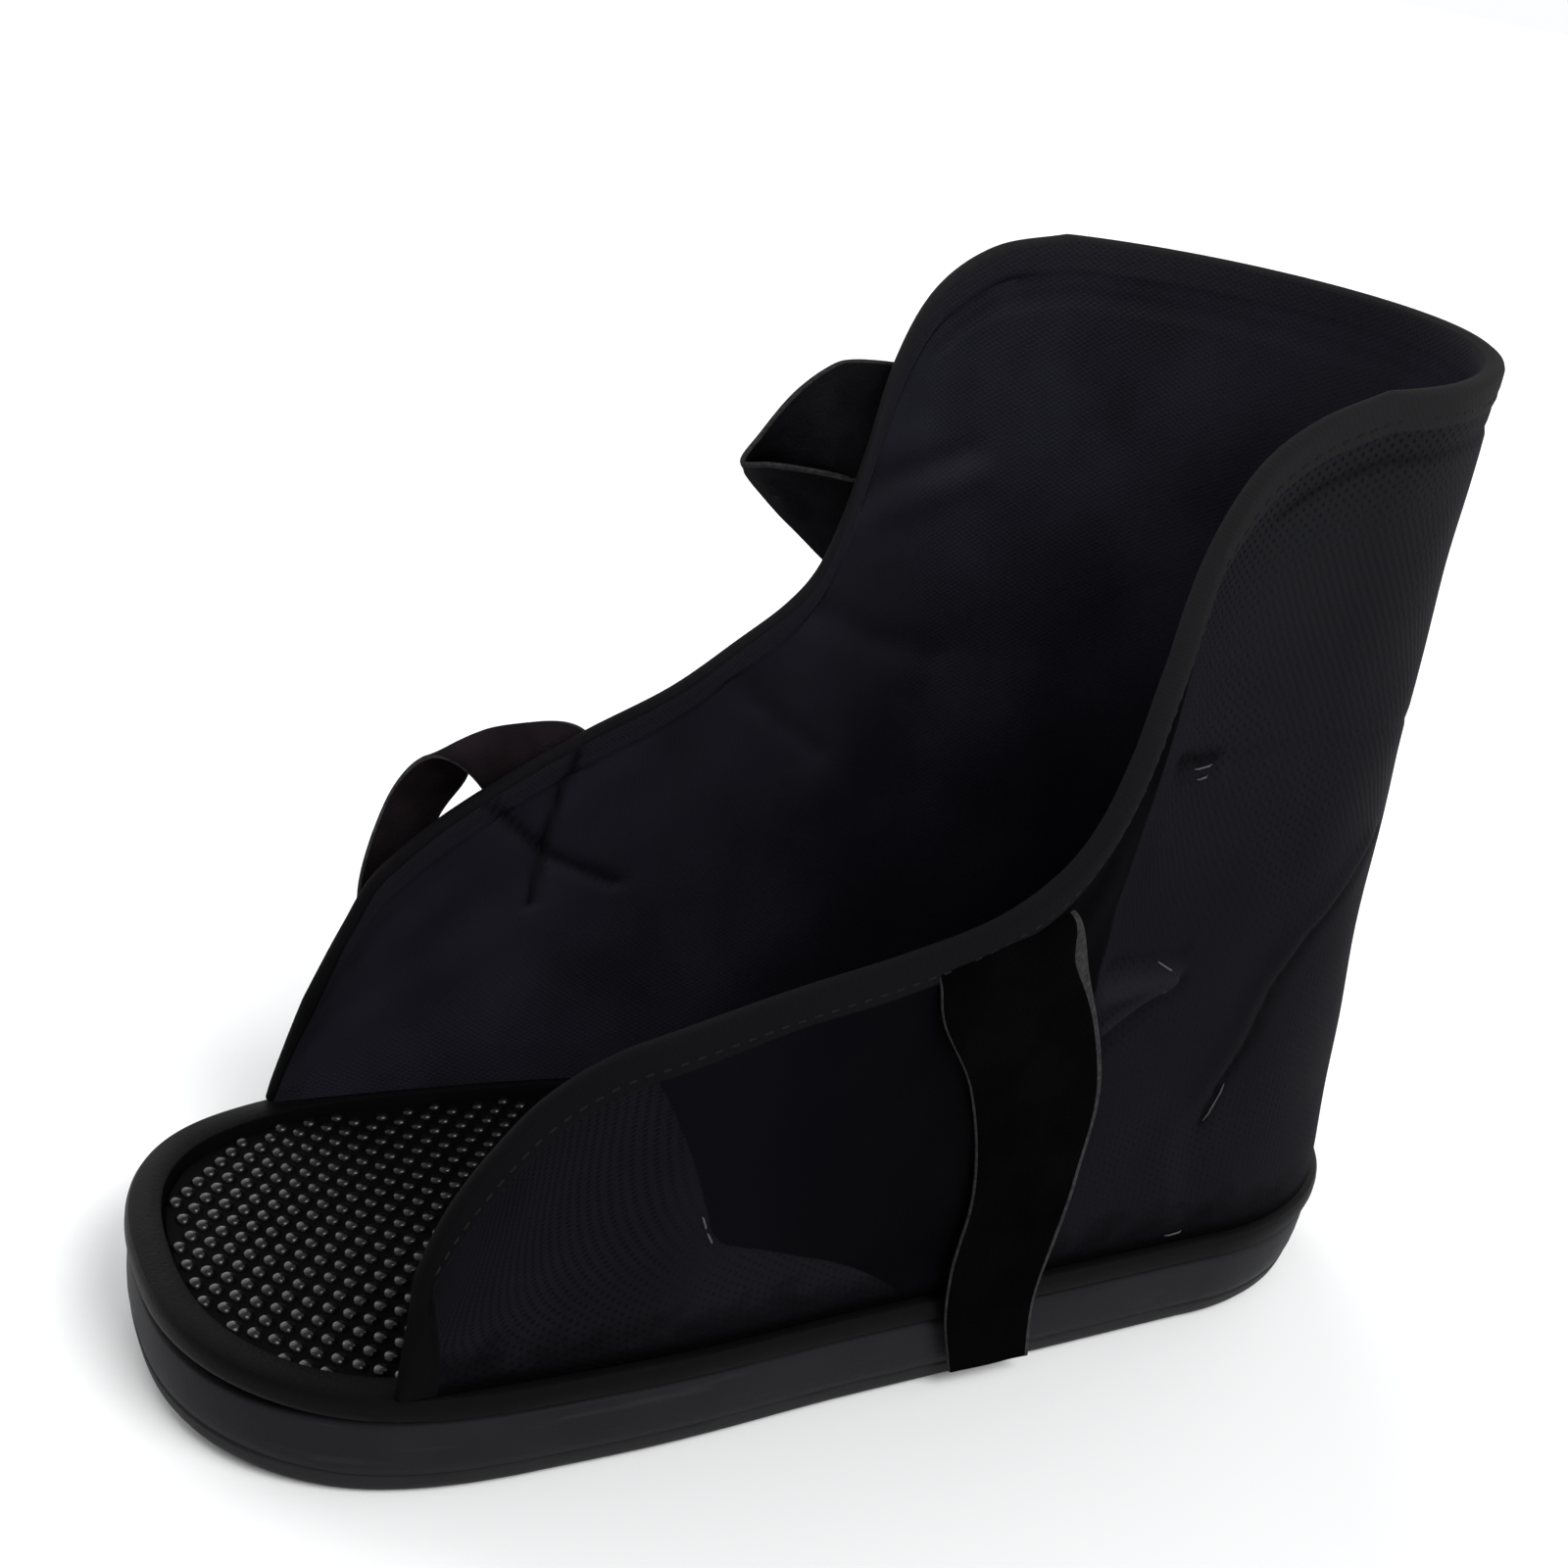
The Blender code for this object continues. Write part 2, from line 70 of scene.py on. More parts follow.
# Main sizes, read from the frame
SOLE_LOW, SOLE_HIGH = node_box("midsole")
UPPER_LOW, UPPER_HIGH = node_box("upper")
LENGTH = SOLE_HIGH[0] - SOLE_LOW[0]
BALL_WIDTH = SOLE_HIGH[1] - SOLE_LOW[1]
HEEL_WIDTH = 0.8 * BALL_WIDTH
UPPER_FOOT_Z = UPPER_LOW[2]
RIM_TOP = UPPER_FOOT_Z - GAP
OUTSOLE_TOP = SOLE_LOW[2] - GAP
EDGE_RISE = 0.8
SHAFT_HEIGHT = UPPER_HIGH[2] - EDGE_RISE
SHAFT_RISE = SHAFT_HEIGHT - UPPER_FOOT_Z

# Sole outline seen from above: a rounded toe, the side and a rounded heel
TOE_ROUND_X = 83.0
HEEL_ROUND_X = -90.0
TOE_POWER = 2.44
HEEL_POWER = 1.9
TOE_STEPS = 56
SIDE_STEPS = 150
HEEL_STEPS = 46
SOLE_WIDTHS = table("place along spread", (
    ("ball", 0.0, 1.0),
    ("ball back", 0.191, 0.911),
    ("waist", 0.422, 0.589),
    ("heel front", 0.665, 0.339),
    ("heel", 1.0, 0.0),
))
TOE_SPRING = 2.0
SPRING_START_X = 112.0
HEEL_RAKE = 1.2
RAKE_START_X = -120.0

# Sole heights and edges
BAND_TOP = 17.8
FOOTBED_FLOOR = 20.0
INSOLE_TOP = 22.3
SIDE_DEPTH = 5.4
RIM_WIDTH = 7.2
RIM_ROUND = 0.6
RECESS_INSET = RIM_WIDTH + 0.4
INSOLE_ROUND = 0.9

# Each ring is the outline moved in by a share of SIDE_DEPTH, at a share of its layer's height
RING = "place inset height"
OUTSOLE_RINGS = table(RING, (
    ("floor flat", 1.0, 0.0),
    ("lower corner", 0.8, 0.03),
    ("lower corner middle", 0.62, 0.13),
    ("lower corner top", 0.48, 0.34),
    ("side", 0.41, 0.6),
    ("side high", 0.36, 0.88),
    ("seam", 0.42, 1.0),
))
BAND_RINGS = table(RING, (
    ("seam", 0.42, 0.0),
    ("band bottom", 0.34, 0.04),
    ("band low", 0.25, 0.2),
    ("band low middle", 0.2, 0.42),
    ("band middle", 0.18, 0.65),
    ("band high", 0.18, 0.88),
    ("shoulder", 0.2, 0.95),
    ("groove shoulder", 0.28, 1.0),
))
LIP_RINGS = table(RING, (
    ("groove", 0.42, 0.03),
    ("groove floor", 0.46, 0.07),
    ("groove roof", 0.46, 0.14),
    ("groove top", 0.38, 0.185),
    ("lip bottom", 0.15, 0.222),
    ("lip low", 0.04, 0.3),
    ("lip", 0.0, 0.45),
    ("lip high", 0.0, 0.68),
    ("lip shoulder", 0.03, 0.82),
    ("lip corner", 0.11, 0.94),
    ("rim outside", 0.28, 1.0),
))
# Wavy cross grooves under the sole
TREAD_DEPTH = 1.2
TREAD_PITCH = 8.0
TREAD_WAVE = 3.0
TREAD_WAVE_WIDTH = 26.0
TREAD_BORDER = 5.0
TREAD_ACROSS = 64

# Round studs all over the footbed: two steps of their lattice, their size and how far they stay in
STUD_STEPS = ((3.5, -2.5), (3.1, 3.5))
STUD_RADIUS = 1.8
STUD_HEIGHT = 1.25
STUD_FLATNESS = 0.75
STUD_SUNK = 0.2
STUD_SIDES = 12
STUD_RINGS = 4
STUD_MARGIN = -0.3

# Upper: wall, where it stands on the rim and its binding
WALL = 3.6
UPPER_FOOT_INSET = 2.2
HEM_WIDTH = 6.0
HEM_STEP = 0.6
HEM_STEP_INSIDE = 0.3
HEM_RAMP = 1.0
HEM_SEAM = 0.78 * HEM_WIDTH
HEM_BLEND = (HEM_WIDTH + 0.5, HEM_WIDTH + 0.1)
SEAM_DEPTH = 0.3
SEAM_WIDTH = 0.7
RIM_CROWN = 1.3
RIM_STEPS = 6
FLAP_BELLY = 2.0
BACK_BOW = 4.0
BACK_TOP_X = -118.5
BODY_ROWS = 112
HEM_ROWS = (1.1, 0.9, 0.7, 0.5, 0.25)
SECTION_STEPS = 9
BACK_COLUMNS = 38

# Flap and shaft sections from the front edge to the collar. Columns x are shares of LENGTH,
# z of SHAFT_RISE, top_half of half of BALL_WIDTH and belly of FLAP_BELLY. far_x and far_z are
# the flap on the right side, which has settled further back at the front, higher at the ankle
SECTIONS = table("place foot_x top_x top_z far_x far_z top_half belly", (
    ("front edge", 0.367, 0.366, 0.126, 0.348, 0.117, 0.948, 0.2),
    ("front corner", 0.345, 0.357, 0.166, 0.333, 0.173, 0.947, 0.35),
    ("nose", 0.322, 0.344, 0.206, 0.323, 0.209, 0.943, 0.5),
    ("hump front", 0.295, 0.324, 0.249, 0.31, 0.254, 0.938, 0.7),
    ("hump", 0.267, 0.297, 0.294, 0.292, 0.286, 0.936, 0.9),
    ("hump back", 0.233, 0.258, 0.332, 0.258, 0.328, 0.947, 1.0),
    ("forefoot", 0.195, 0.207, 0.36, 0.208, 0.374, 0.968, 1.0),
    ("instep", 0.152, 0.143, 0.393, 0.15, 0.419, 0.996, 0.9),
    ("instep back", 0.103, 0.068, 0.426, 0.083, 0.466, 1.025, 0.7),
    ("bend", 0.05, 0.008, 0.459, 0.03, 0.521, 1.043, 0.4),
    ("ankle low", 0.003, -0.033, 0.504, -0.007, 0.563, 1.053, 0.2),
    ("ankle", -0.04, -0.057, 0.558, -0.03, 0.606, 1.057, 0.0),
    ("ankle high", -0.08, -0.072, 0.632, -0.043, 0.667, 1.053, 0.0),
    ("shaft", -0.12, -0.08, 0.721, -0.052, 0.75, 1.046, 0.2),
    ("shaft high", -0.16, -0.088, 0.821, -0.06, 0.849, 1.036, 0.5),
    ("shaft corner", -0.2, -0.112, 0.898, -0.08, 0.927, 1.021, 0.6),
    ("collar front", -0.243, -0.15, 0.943, -0.12, 0.976, 1.004, 0.5),
    ("collar", HEEL_ROUND_X / LENGTH, -0.203, 0.974, -0.177, 0.998, 0.986, 0.2),
))

# Creases, dents and seams of the two skins. side is 1 on the left and -1 on the right,
# depth in millimetres goes into the wall where it is positive, and points are places seen from
# the side, as shares of LENGTH and SHAFT_RISE
MARK = "place side depth width points"
OUTER_MARKS = table(MARK, (
    ("shaft seam", 1, 0.55, 1.1,
     ((-0.14, 0.62), (-0.2, 0.632), (-0.3, 0.628), (-0.42, 0.61))),
    ("tack", 1, 1.0, 1.5, ((-0.108, 0.617), (-0.138, 0.619))),
    ("tack fold", 1, -0.6, 2.0, ((-0.115, 0.597), (-0.145, 0.6))),
    ("counter seam", 1, 0.8, 1.5,
     ((-0.37, 0.485), (-0.3, 0.395), (-0.277, 0.335), (-0.267, 0.26), (-0.253, 0.21),
      (-0.25, 0.165))),
    ("counter ridge", 1, -0.7, 3.0,
     ((-0.35, 0.485), (-0.285, 0.4), (-0.262, 0.335), (-0.25, 0.26), (-0.238, 0.21))),
    ("heel fold", 1, 0.7, 4.5, ((-0.24, 0.15), (-0.27, 0.04))),
    ("heel fold rise", 1, -0.5, 5.0, ((-0.215, 0.17), (-0.24, 0.03))),
    ("snag swell", 1, -1.8, 3.6, ((-0.1, 0.365), (-0.155, 0.37))),
    ("snag edge", 1, -1.1, 1.4, ((-0.11, 0.315), (-0.163, 0.372))),
    ("snag trough", 1, 1.5, 1.7, ((-0.115, 0.295), (-0.172, 0.362))),
    ("snag side", 1, 0.8, 1.8, ((-0.1, 0.395), (-0.165, 0.4))),
    ("ankle pull", 1, 0.5, 5.0, ((-0.09, 0.46), (-0.17, 0.5), (-0.24, 0.5))),
    ("fore dent", 1, 0.6, 9.0, ((0.29, 0.1), (0.24, 0.2))),
    ("panel dent", 1, 0.6, 8.0, ((0.14, 0.35), (0.12, 0.15))),
    ("bend fold right", -1, 0.9, 5.0, ((0.0, 0.55), (-0.08, 0.5), (-0.16, 0.5))),
    ("heel fold right", -1, 0.8, 4.5, ((-0.25, 0.2), (-0.28, 0.04))),
    ("counter seam right", -1, 0.8, 1.5,
     ((-0.37, 0.485), (-0.3, 0.395), (-0.277, 0.335), (-0.267, 0.26), (-0.25, 0.165))),
    ("shaft seam right", -1, 0.55, 1.1,
     ((-0.12, 0.62), (-0.2, 0.632), (-0.3, 0.628), (-0.42, 0.61))),
    ("fore dent right", -1, 0.6, 9.0, ((0.27, 0.08), (0.22, 0.2))),
))
INNER_MARKS = table(MARK, (
    ("cross dent one", -1, 1.3, 1.5, ((0.235, 0.36), (0.173, 0.28), (0.11, 0.24))),
    ("cross dent two", -1, 1.3, 1.4, ((0.16, 0.41), (0.173, 0.32), (0.18, 0.22))),
    ("instep dent", -1, 0.8, 2.6, ((0.05, 0.49), (-0.045, 0.4))),
    ("ankle dent", -1, 1.0, 3.0, ((-0.02, 0.67), (-0.06, 0.72), (-0.13, 0.76))),
    ("ankle swell", -1, -0.8, 4.0, ((-0.02, 0.64), (-0.07, 0.69), (-0.13, 0.73))),
    ("shaft fold one", -1, 0.9, 5.0, ((-0.07, 0.97), (-0.08, 0.8))),
    ("shaft fold two", -1, 0.8, 6.0, ((-0.13, 0.98), (-0.12, 0.78))),
    ("bend dent", -1, 1.0, 4.0, ((0.0, 0.58), (-0.07, 0.54), (-0.13, 0.52))),
    ("bend dent left", 1, 1.0, 4.5, ((-0.03, 0.53), (-0.1, 0.5), (-0.17, 0.5))),
))
# Marks with painted shade along them, over a share of their width, and marks with a painted
# highlight
SHADED_MARKS = ("tack", "counter seam", "counter seam right", "cross dent one", "cross dent two")
SHADE_SPREAD = 0.8
HIGHLIGHTED_MARKS = ("snag swell", "snag edge")

# Slow waves of the padded cloth: how high, their lengths along and up, and how far from the edge
# and the foot they are full
WAVE_HEIGHT = 0.35
WAVE_ALONG = 47.0
WAVE_UP = 61.0
WAVE_FROM_EDGE = 15.0
WAVE_FROM_FOOT = 10.0
# Stitched line below the collar: its distance from the edge, the share of the shaft's height where
# it starts, over what rise, its depth and its width
COLLAR_STITCH = 12.0
COLLAR_STITCH_FROM = 0.84
COLLAR_FADE = 8.0
COLLAR_DEPTH = 0.6
COLLAR_WIDTH = 1.1

# Pile panel under the instep strap: the foot of its front seam, which bows, then its other edges
PANEL_STEP = 0.5
PANEL_FOOT = (0.173, 0.136)
PANEL_SLOPE = 0.30
PANEL_BOW = 0.0040
PANEL_BACK_X = -0.09
PANEL_BOTTOM_SLOPE = 0.37
PANEL_DIP = 0.01
PANEL_DIP_X = 0.085
PANEL_CORNER = 4.0
OFF_PANEL = -50.0

# Spacing of the mesh's holes and of the lining's weave
MESH_PITCH = 2.1
WEAVE_PITCH = 1.2

# Straps: every row is one fold line, given at the strap's toe edge and its heel edge as a place
# on the flap seen from the side, and how far it stands out, as a share of the strap's own reach
STRAP_THICKNESS = 2.4
PILE_THICKNESS = 1.2
STRAP_STEPS = 12
STRAP_WIDTH_POINTS = 29
STRAP_EDGE_STEPS = 5
STRAP_EDGE_ROUND = 0.7
RIPPLE_HEIGHT = 0.5
RIPPLE_LENGTH = 7.0
TURNED_STRIP = 0.022
TURNED_ROW = 21
TURNED_ROWS = 7
INSTEP_TURNED = 0.065
INSTEP_REACH = 3.9
FOREFOOT_REACH = 21.7
ANKLE_REACH = 24.7
FOLD = "place toe_x toe_z toe_out heel_x heel_z heel_out"
INSTEP_FOLDS = table(FOLD, (
    ("root", 0.05, 0.425, -0.6, -0.04, 0.475, -0.6),
    ("out of the hem", 0.047, 0.405, 0.0, -0.048, 0.462, 0.0),
    ("below the hem", 0.037, 0.362, 0.08, -0.068, 0.41, 0.08),
    ("upper wave", 0.001, 0.287, 0.05, -0.1, 0.325, 0.05),
    ("middle", -0.024, 0.202, 0.05, -0.123, 0.235, 0.05),
    ("lower wave", -0.037, 0.117, 0.154, -0.127, 0.14, 0.154),
    ("above the lip", -0.036, 0.036, 0.59, -0.12, 0.06, 0.538),
    ("past the lip", -0.042, -0.025, 0.718, -0.12, -0.016, 0.718),
    ("end", -0.06, -0.096, 1.0, -0.128, -0.096, 0.923),
))
FOREFOOT_FOLDS = table(FOLD, (
    ("root", 0.173, 0.239, 0.0, 0.1, 0.315, 0.0),
    ("sewn", 0.197, 0.291, 0.0, 0.123, 0.367, 0.0),
    ("topline", 0.223, 0.35, 0.041, 0.153, 0.417, 0.06),
    ("rise", 0.247, 0.381, 0.124, 0.19, 0.417, 0.263),
    ("crest", 0.27, 0.381, 0.25, 0.228, 0.397, 0.45),
    ("fall", 0.289, 0.345, 0.36, 0.231, 0.347, 0.45),
    ("hang high", 0.302, 0.292, 0.32, 0.241, 0.274, 0.75),
    ("hang", 0.306, 0.218, 0.25, 0.239, 0.2, 0.75),
    ("end", 0.297, 0.117, 0.171, 0.233, 0.107, 0.677),
))
ANKLE_FOLDS = table(FOLD, (
    ("root", -0.127, 0.717, 0.0, -0.117, 0.835, 0.0),
    ("sewn", -0.09, 0.717, 0.0, -0.083, 0.839, 0.0),
    ("leaves the flap", -0.055, 0.714, 0.045, -0.05, 0.839, 0.036),
    ("out", -0.032, 0.688, 0.312, -0.025, 0.828, 0.069),
    ("bend over", -0.013, 0.665, 0.595, 0.004, 0.793, 0.093),
    ("tip high", -0.004, 0.674, 0.858, 0.029, 0.746, 0.109),
    ("tip low", 0.0, 0.673, 1.0, 0.043, 0.715, 0.109),
    ("back under", -0.018, 0.649, 0.919, 0.018, 0.712, 0.109),
    ("return", -0.031, 0.628, 0.615, -0.02, 0.708, 0.117),
    ("tuck", -0.052, 0.6, 0.291, -0.061, 0.705, 0.134),
    ("end", -0.09, 0.58, 0.158, -0.1, 0.698, 0.158),
))

# Short light threads on the left flap, as pairs of places seen from the side
LIGHT_THREADS = (
    ((-0.1445, 0.392), (-0.158, 0.381)),
    ((-0.158, 0.382), (-0.166, 0.368)),
    ((-0.165, 0.369), (-0.152, 0.357)),
    ((-0.259, 0.215), (-0.252, 0.165)),
    ((0.184, 0.168), (0.180, 0.152)),
    ((0.179, 0.149), (0.174, 0.134)),
    ((-0.122, 0.609), (-0.139, 0.612)),
    ((-0.125, 0.598), (-0.134, 0.601)),
    ((-0.25, 0.012), (-0.268, 0.014)),
)

# Thread
THREAD = 0.32
LIGHT_THREAD = 0.22
THREAD_DIP = -0.35
STITCH_PITCH = 3.4
STITCH_LENGTH = 2.3
STITCH_SIDES = 6

# Camera, set from the sole's edge and the shaft in the photograph: azimuth, elevation and roll in
# degrees, the point that it looks at, its distance, and the lens and shift as shares of the
# picture's width
CAMERA_TURN = (31.75, 22.36, 11.78)
CAMERA_TARGET = (8.2, 0.0, 127.8)
CAMERA_DISTANCE = 458.0
CAMERA_FOCAL = 1.36664
CAMERA_SHIFT = (-0.04183, -0.00401)
SENSOR = 36.0
FLOOR_REACH = 60.0


def smooth(value):
    """Eases 0 to 1 with level ends."""
    t = np.clip(value, 0.0, 1.0)
    return t * t * (3.0 - 2.0 * t)


def bell(distance, width):
    """1 at no distance, falling away over width."""
    return np.exp(-((distance / width) ** 2))


def side_place(x, z):
    """Millimetres of a place that is given as shares of LENGTH and SHAFT_RISE."""
    return x * LENGTH, UPPER_FOOT_Z + z * SHAFT_RISE


def run_of(steps):
    """Distance run up to each point, from the steps between them."""
    return join((steps[:1] * 0.0, np.cumsum(steps, axis=0)))


def curve(rows, where):
    """Smooth curve through equally spaced rows, read at the fractional row numbers in where."""
    rows = np.asarray(rows, float)
    ends = join(([2 * rows[0] - rows[1]], rows, [2 * rows[-1] - rows[-2]]))
    where = np.clip(np.atleast_1d(where), 0.0, len(rows) - 1.0)
    start = np.minimum(where.astype(int), len(rows) - 2)
    t = (where - start).reshape((-1,) + (1,) * (rows.ndim - 1))
    a, b, c, d = (ends[start + k] for k in range(4))
    return b + 0.5 * t * (c - a + t * (2 * a - 5 * b + 4 * c - d + t * (3 * (b - c) + d - a)))


def unit(vectors):
    """Vectors scaled to length one."""
    return vectors / np.maximum(norm(vectors, axis=-1, keepdims=True), 1e-9)


def side_half(x):
    """Half-width of the sole between the two rounded ends."""
    along = (TOE_ROUND_X - np.asarray(x, float)) / (TOE_ROUND_X - HEEL_ROUND_X)
    rows = np.interp(along, [row.along for row in SOLE_WIDTHS], np.arange(len(SOLE_WIDTHS)))
    spread = curve([row.spread for row in SOLE_WIDTHS], rows)
    return (HEEL_WIDTH + (BALL_WIDTH - HEEL_WIDTH) * spread) / 2


def rounded_end(x, reach, half, power, steps):
    """Left edge of a rounded end from its tip to x, where it is half wide."""
    turn = np.linspace(0.0, pi / 2, steps + 1)
    return np.c_[x + reach * np.abs(np.cos(turn)) ** (2 / power),
                 half * np.sin(turn) ** (2 / power)]


def near_outline():
    """Left edge of the sole from the toe tip to the heel tip."""
    toe = rounded_end(TOE_ROUND_X, LENGTH / 2 - TOE_ROUND_X, BALL_WIDTH / 2, TOE_POWER, TOE_STEPS)
    heel = rounded_end(HEEL_ROUND_X, -LENGTH / 2 - HEEL_ROUND_X, HEEL_WIDTH / 2, HEEL_POWER,
                       HEEL_STEPS)[::-1]
    x = np.linspace(TOE_ROUND_X, HEEL_ROUND_X, SIDE_STEPS + 1)[1:-1]
    side = np.c_[x, side_half(x)]
    return join((toe, side, heel))


def outline(inset):
    """Closed outline moved inwards by inset, toe tip first, left edge first."""
    near = near_outline()
    far = near[-2:0:-1] * (1.0, -1.0)
    ring = join((near, far))
    along = unit(np.roll(ring, -1, axis=0) - np.roll(ring, 1, axis=0))
    return ring + np.c_[-along[:, 1], along[:, 0]] * inset


def settle(points):
    """Adds the toe spring and the heel's lean to points of the sole."""
    x, z = points[:, 0], points[:, 2]
    lean = HEEL_RAKE * smooth((RAKE_START_X - x) / (RAKE_START_X + LENGTH / 2))
    lift = TOE_SPRING * smooth((x - SPRING_START_X) / (LENGTH / 2 - SPRING_START_X))
    lean *= np.clip(1.0 - z / BAND_TOP, 0.0, 1.0)
    return points + np.c_[lean, np.zeros(len(x)), lift]


def layer(rows, bottom, top):
    """Insets and heights of one layer's rings."""
    return [(row.inset * SIDE_DEPTH, bottom + row.height * (top - bottom)) for row in rows]


def sole_ring(inset, z):
    """One ring of the sole."""
    plan = outline(inset)
    return settle(np.c_[plan, np.full(len(plan), z)])


def quads(grid):
    """Faces between the neighbours in a grid of point numbers."""
    corners = grid[:-1, :-1], grid[:-1, 1:], grid[1:, 1:], grid[1:, :-1]
    return np.stack(corners, axis=2).reshape(-1, 4).tolist()


def side_faces(levels, count):
    """Faces between rings that lie one after another."""
    grid = np.arange(levels * count).reshape(levels, count)
    return quads(np.c_[grid, grid[:, :1]])


def ladder(start, count, upwards):
    """Faces that close a ring across the shoe, from its left edge to its right edge."""
    faces = []
    for i in range(count // 2):
        corners = list(dict.fromkeys((i, i + 1, count - i - 1, (count - i) % count)))
        faces.append([start + c for c in (corners if upwards else corners[::-1])])
    return faces


def stack(rings):
    """Points and faces of rings that lie one after another and are closed at both ends."""
    count = len(rings[0])
    faces = ladder(0, count, False) + side_faces(len(rings), count)
    return join(rings), faces + ladder((len(rings) - 1) * count, count, True)


def add(name, data):
    """A new object in the scene, made from its data."""
    made = bpy.data.objects.new(name, data)
    bpy.context.scene.collection.objects.link(made)
    return made


def make_piece(name, points, faces, materials, nodes=(), slots=None, values=None):
    """One shaded piece from points in millimetres. values are numbers kept on its points."""
    mesh = bpy.data.meshes.new(name)
    mesh.from_pydata((np.asarray(points, float) * MM).tolist(), [], faces)
    for material in materials:
        mesh.materials.append(material)
    if slots is not None:
        mesh.polygons.foreach_set("material_index", np.asarray(slots, np.int32))
    for key, numbers in (values or {}).items():
        flat = np.ravel(np.asarray(numbers, np.float32))
        kind = "FLOAT" if len(flat) == len(mesh.vertices) else "FLOAT_VECTOR"
        attribute = mesh.attributes.new(key, kind, "POINT")
        attribute.data.foreach_set("value" if kind == "FLOAT" else "vector", flat)
    mesh.update()
    mesh.shade_smooth()
    mesh.set_sharp_from_angle(angle=SHARP_ANGLE)
    piece = add(name, mesh)
    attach(piece, "root")
    if nodes:
        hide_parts(*nodes)
    return piece


def tread(x, y, edge):
    """Height of the wavy grooves under the sole, none near its edge."""
    wave = x + TREAD_WAVE * np.sin(2 * pi * y / TREAD_WAVE_WIDTH)
    groove = smooth((np.cos(2 * pi * wave / TREAD_PITCH) - 0.1) / 0.5)
    return TREAD_DEPTH * groove * smooth((edge - TREAD_BORDER) / 2.0)


def build_outsole(material):
    """Thin rubber outsole with its tread."""
    rings = [sole_ring(*ring) for ring in layer(OUTSOLE_RINGS, 0.0, OUTSOLE_TOP)]
    count = len(rings[0])
    faces = side_faces(len(rings), count) + ladder((len(rings) - 1) * count, count, True)
    half = count // 2
    plan = outline(OUTSOLE_RINGS[0].inset * SIDE_DEPTH)
    share = np.arange(1, TREAD_ACROSS)[:, None] / TREAD_ACROSS
    rows = []
    for i in range(1, half):
        line = plan[i] * (1 - share) + plan[count - i] * share
        edge = np.minimum(plan[i, 1] - np.abs(line[:, 1]), LENGTH / 2 - np.abs(line[:, 0]))
        rows.append(settle(np.c_[line, tread(line[:, 0], line[:, 1], edge)]))
    left = np.arange(1, half)
    inside = len(rings) * count + np.arange(len(join(rows))).reshape(len(rows), -1)
    grid = np.c_[left, inside, count - left]
    first, last = grid[0].tolist(), grid[-1].tolist()
    faces += [(0, a, b) for a, b in zip(first, first[1:])] + quads(grid.T)
    faces += [(b, a, half) for a, b in zip(last, last[1:])]
    make_piece("outsole_rubber", join(rings + rows), faces, [material],
               ["outsole"])


def build_midsole(material):
    """Foam band, groove and lip, with the recess that takes the footbed."""
    band = layer(BAND_RINGS, OUTSOLE_TOP + 0.02, BAND_TOP)
    lip = layer(LIP_RINGS, BAND_TOP, RIM_TOP)
    recess = [
        (RIM_WIDTH - RIM_ROUND, RIM_TOP),
        (RIM_WIDTH - RIM_ROUND * 0.3, RIM_TOP - RIM_ROUND * 0.3),
        (RIM_WIDTH, RIM_TOP - RIM_ROUND),
        (RECESS_INSET, FOOTBED_FLOOR),
    ]
    points, faces = stack([sole_ring(*ring) for ring in band + lip[1:] + recess])
    make_piece("midsole_foam", points, faces, [material], ["midsole"])


def build_footbed(materials):
    """Footbed with round studs in a slanted lattice."""
    edge = RECESS_INSET + GAP
    points, faces = stack([
        sole_ring(edge, FOOTBED_FLOOR + GAP),
        sole_ring(edge, INSOLE_TOP - INSOLE_ROUND),
        sole_ring(edge + INSOLE_ROUND * 0.3, INSOLE_TOP - INSOLE_ROUND * 0.3),
        sole_ring(edge + INSOLE_ROUND, INSOLE_TOP),
    ])
    slots = [0] * len(faces)

    plan = outline(edge + STUD_MARGIN + STUD_RADIUS)[: len(near_outline())][::-1]
    steps = np.array(STUD_STEPS)
    reach = int(LENGTH / steps[:, 0].min())
    centres = np.mgrid[-reach:reach, -reach:reach].reshape(2, -1).T @ steps
    half = np.interp(centres[:, 0], plan[:, 0], plan[:, 1], left=-1.0, right=-1.0)
    centres = centres[np.abs(centres[:, 1]) <= half]

    turn = np.linspace(0.0, 2 * pi, STUD_SIDES, endpoint=False)
    rise = np.linspace(0.0, pi / 2, STUD_RINGS + 1)[:-1]
    circle = np.c_[np.cos(turn), np.sin(turn), np.ones(STUD_SIDES)]
    radius = STUD_RADIUS * np.cos(rise) ** STUD_FLATNESS
    size = np.c_[radius, radius, STUD_HEIGHT * np.sin(rise) - STUD_SUNK]
    dome = (circle * size[:, None]).reshape(-1, 3)
    dome = join((dome, [[0.0, 0.0, STUD_HEIGHT - STUD_SUNK]]))
    dome_faces = side_faces(STUD_RINGS, STUD_SIDES) + [list(range(STUD_SIDES))[::-1]]
    tip = STUD_RINGS * STUD_SIDES
    ring = tip - STUD_SIDES
    dome_faces += [(ring + k, ring + (k + 1) % STUD_SIDES, tip) for k in range(STUD_SIDES)]
    for n in range(len(centres)):
        at = len(points) + n * len(dome)
        faces += [[at + corner for corner in face] for face in dome_faces]
    studs = centres[:, None, :] + dome[None, :, :2]
    height = np.broadcast_to(INSOLE_TOP + dome[:, 2], studs.shape[:2])
    points = join((points, settle(np.c_[studs.reshape(-1, 2), height.ravel()])))
    slots += [1] * (len(faces) - len(slots))
    make_piece("footbed_studs", points, faces, materials, ["insole"], slots)


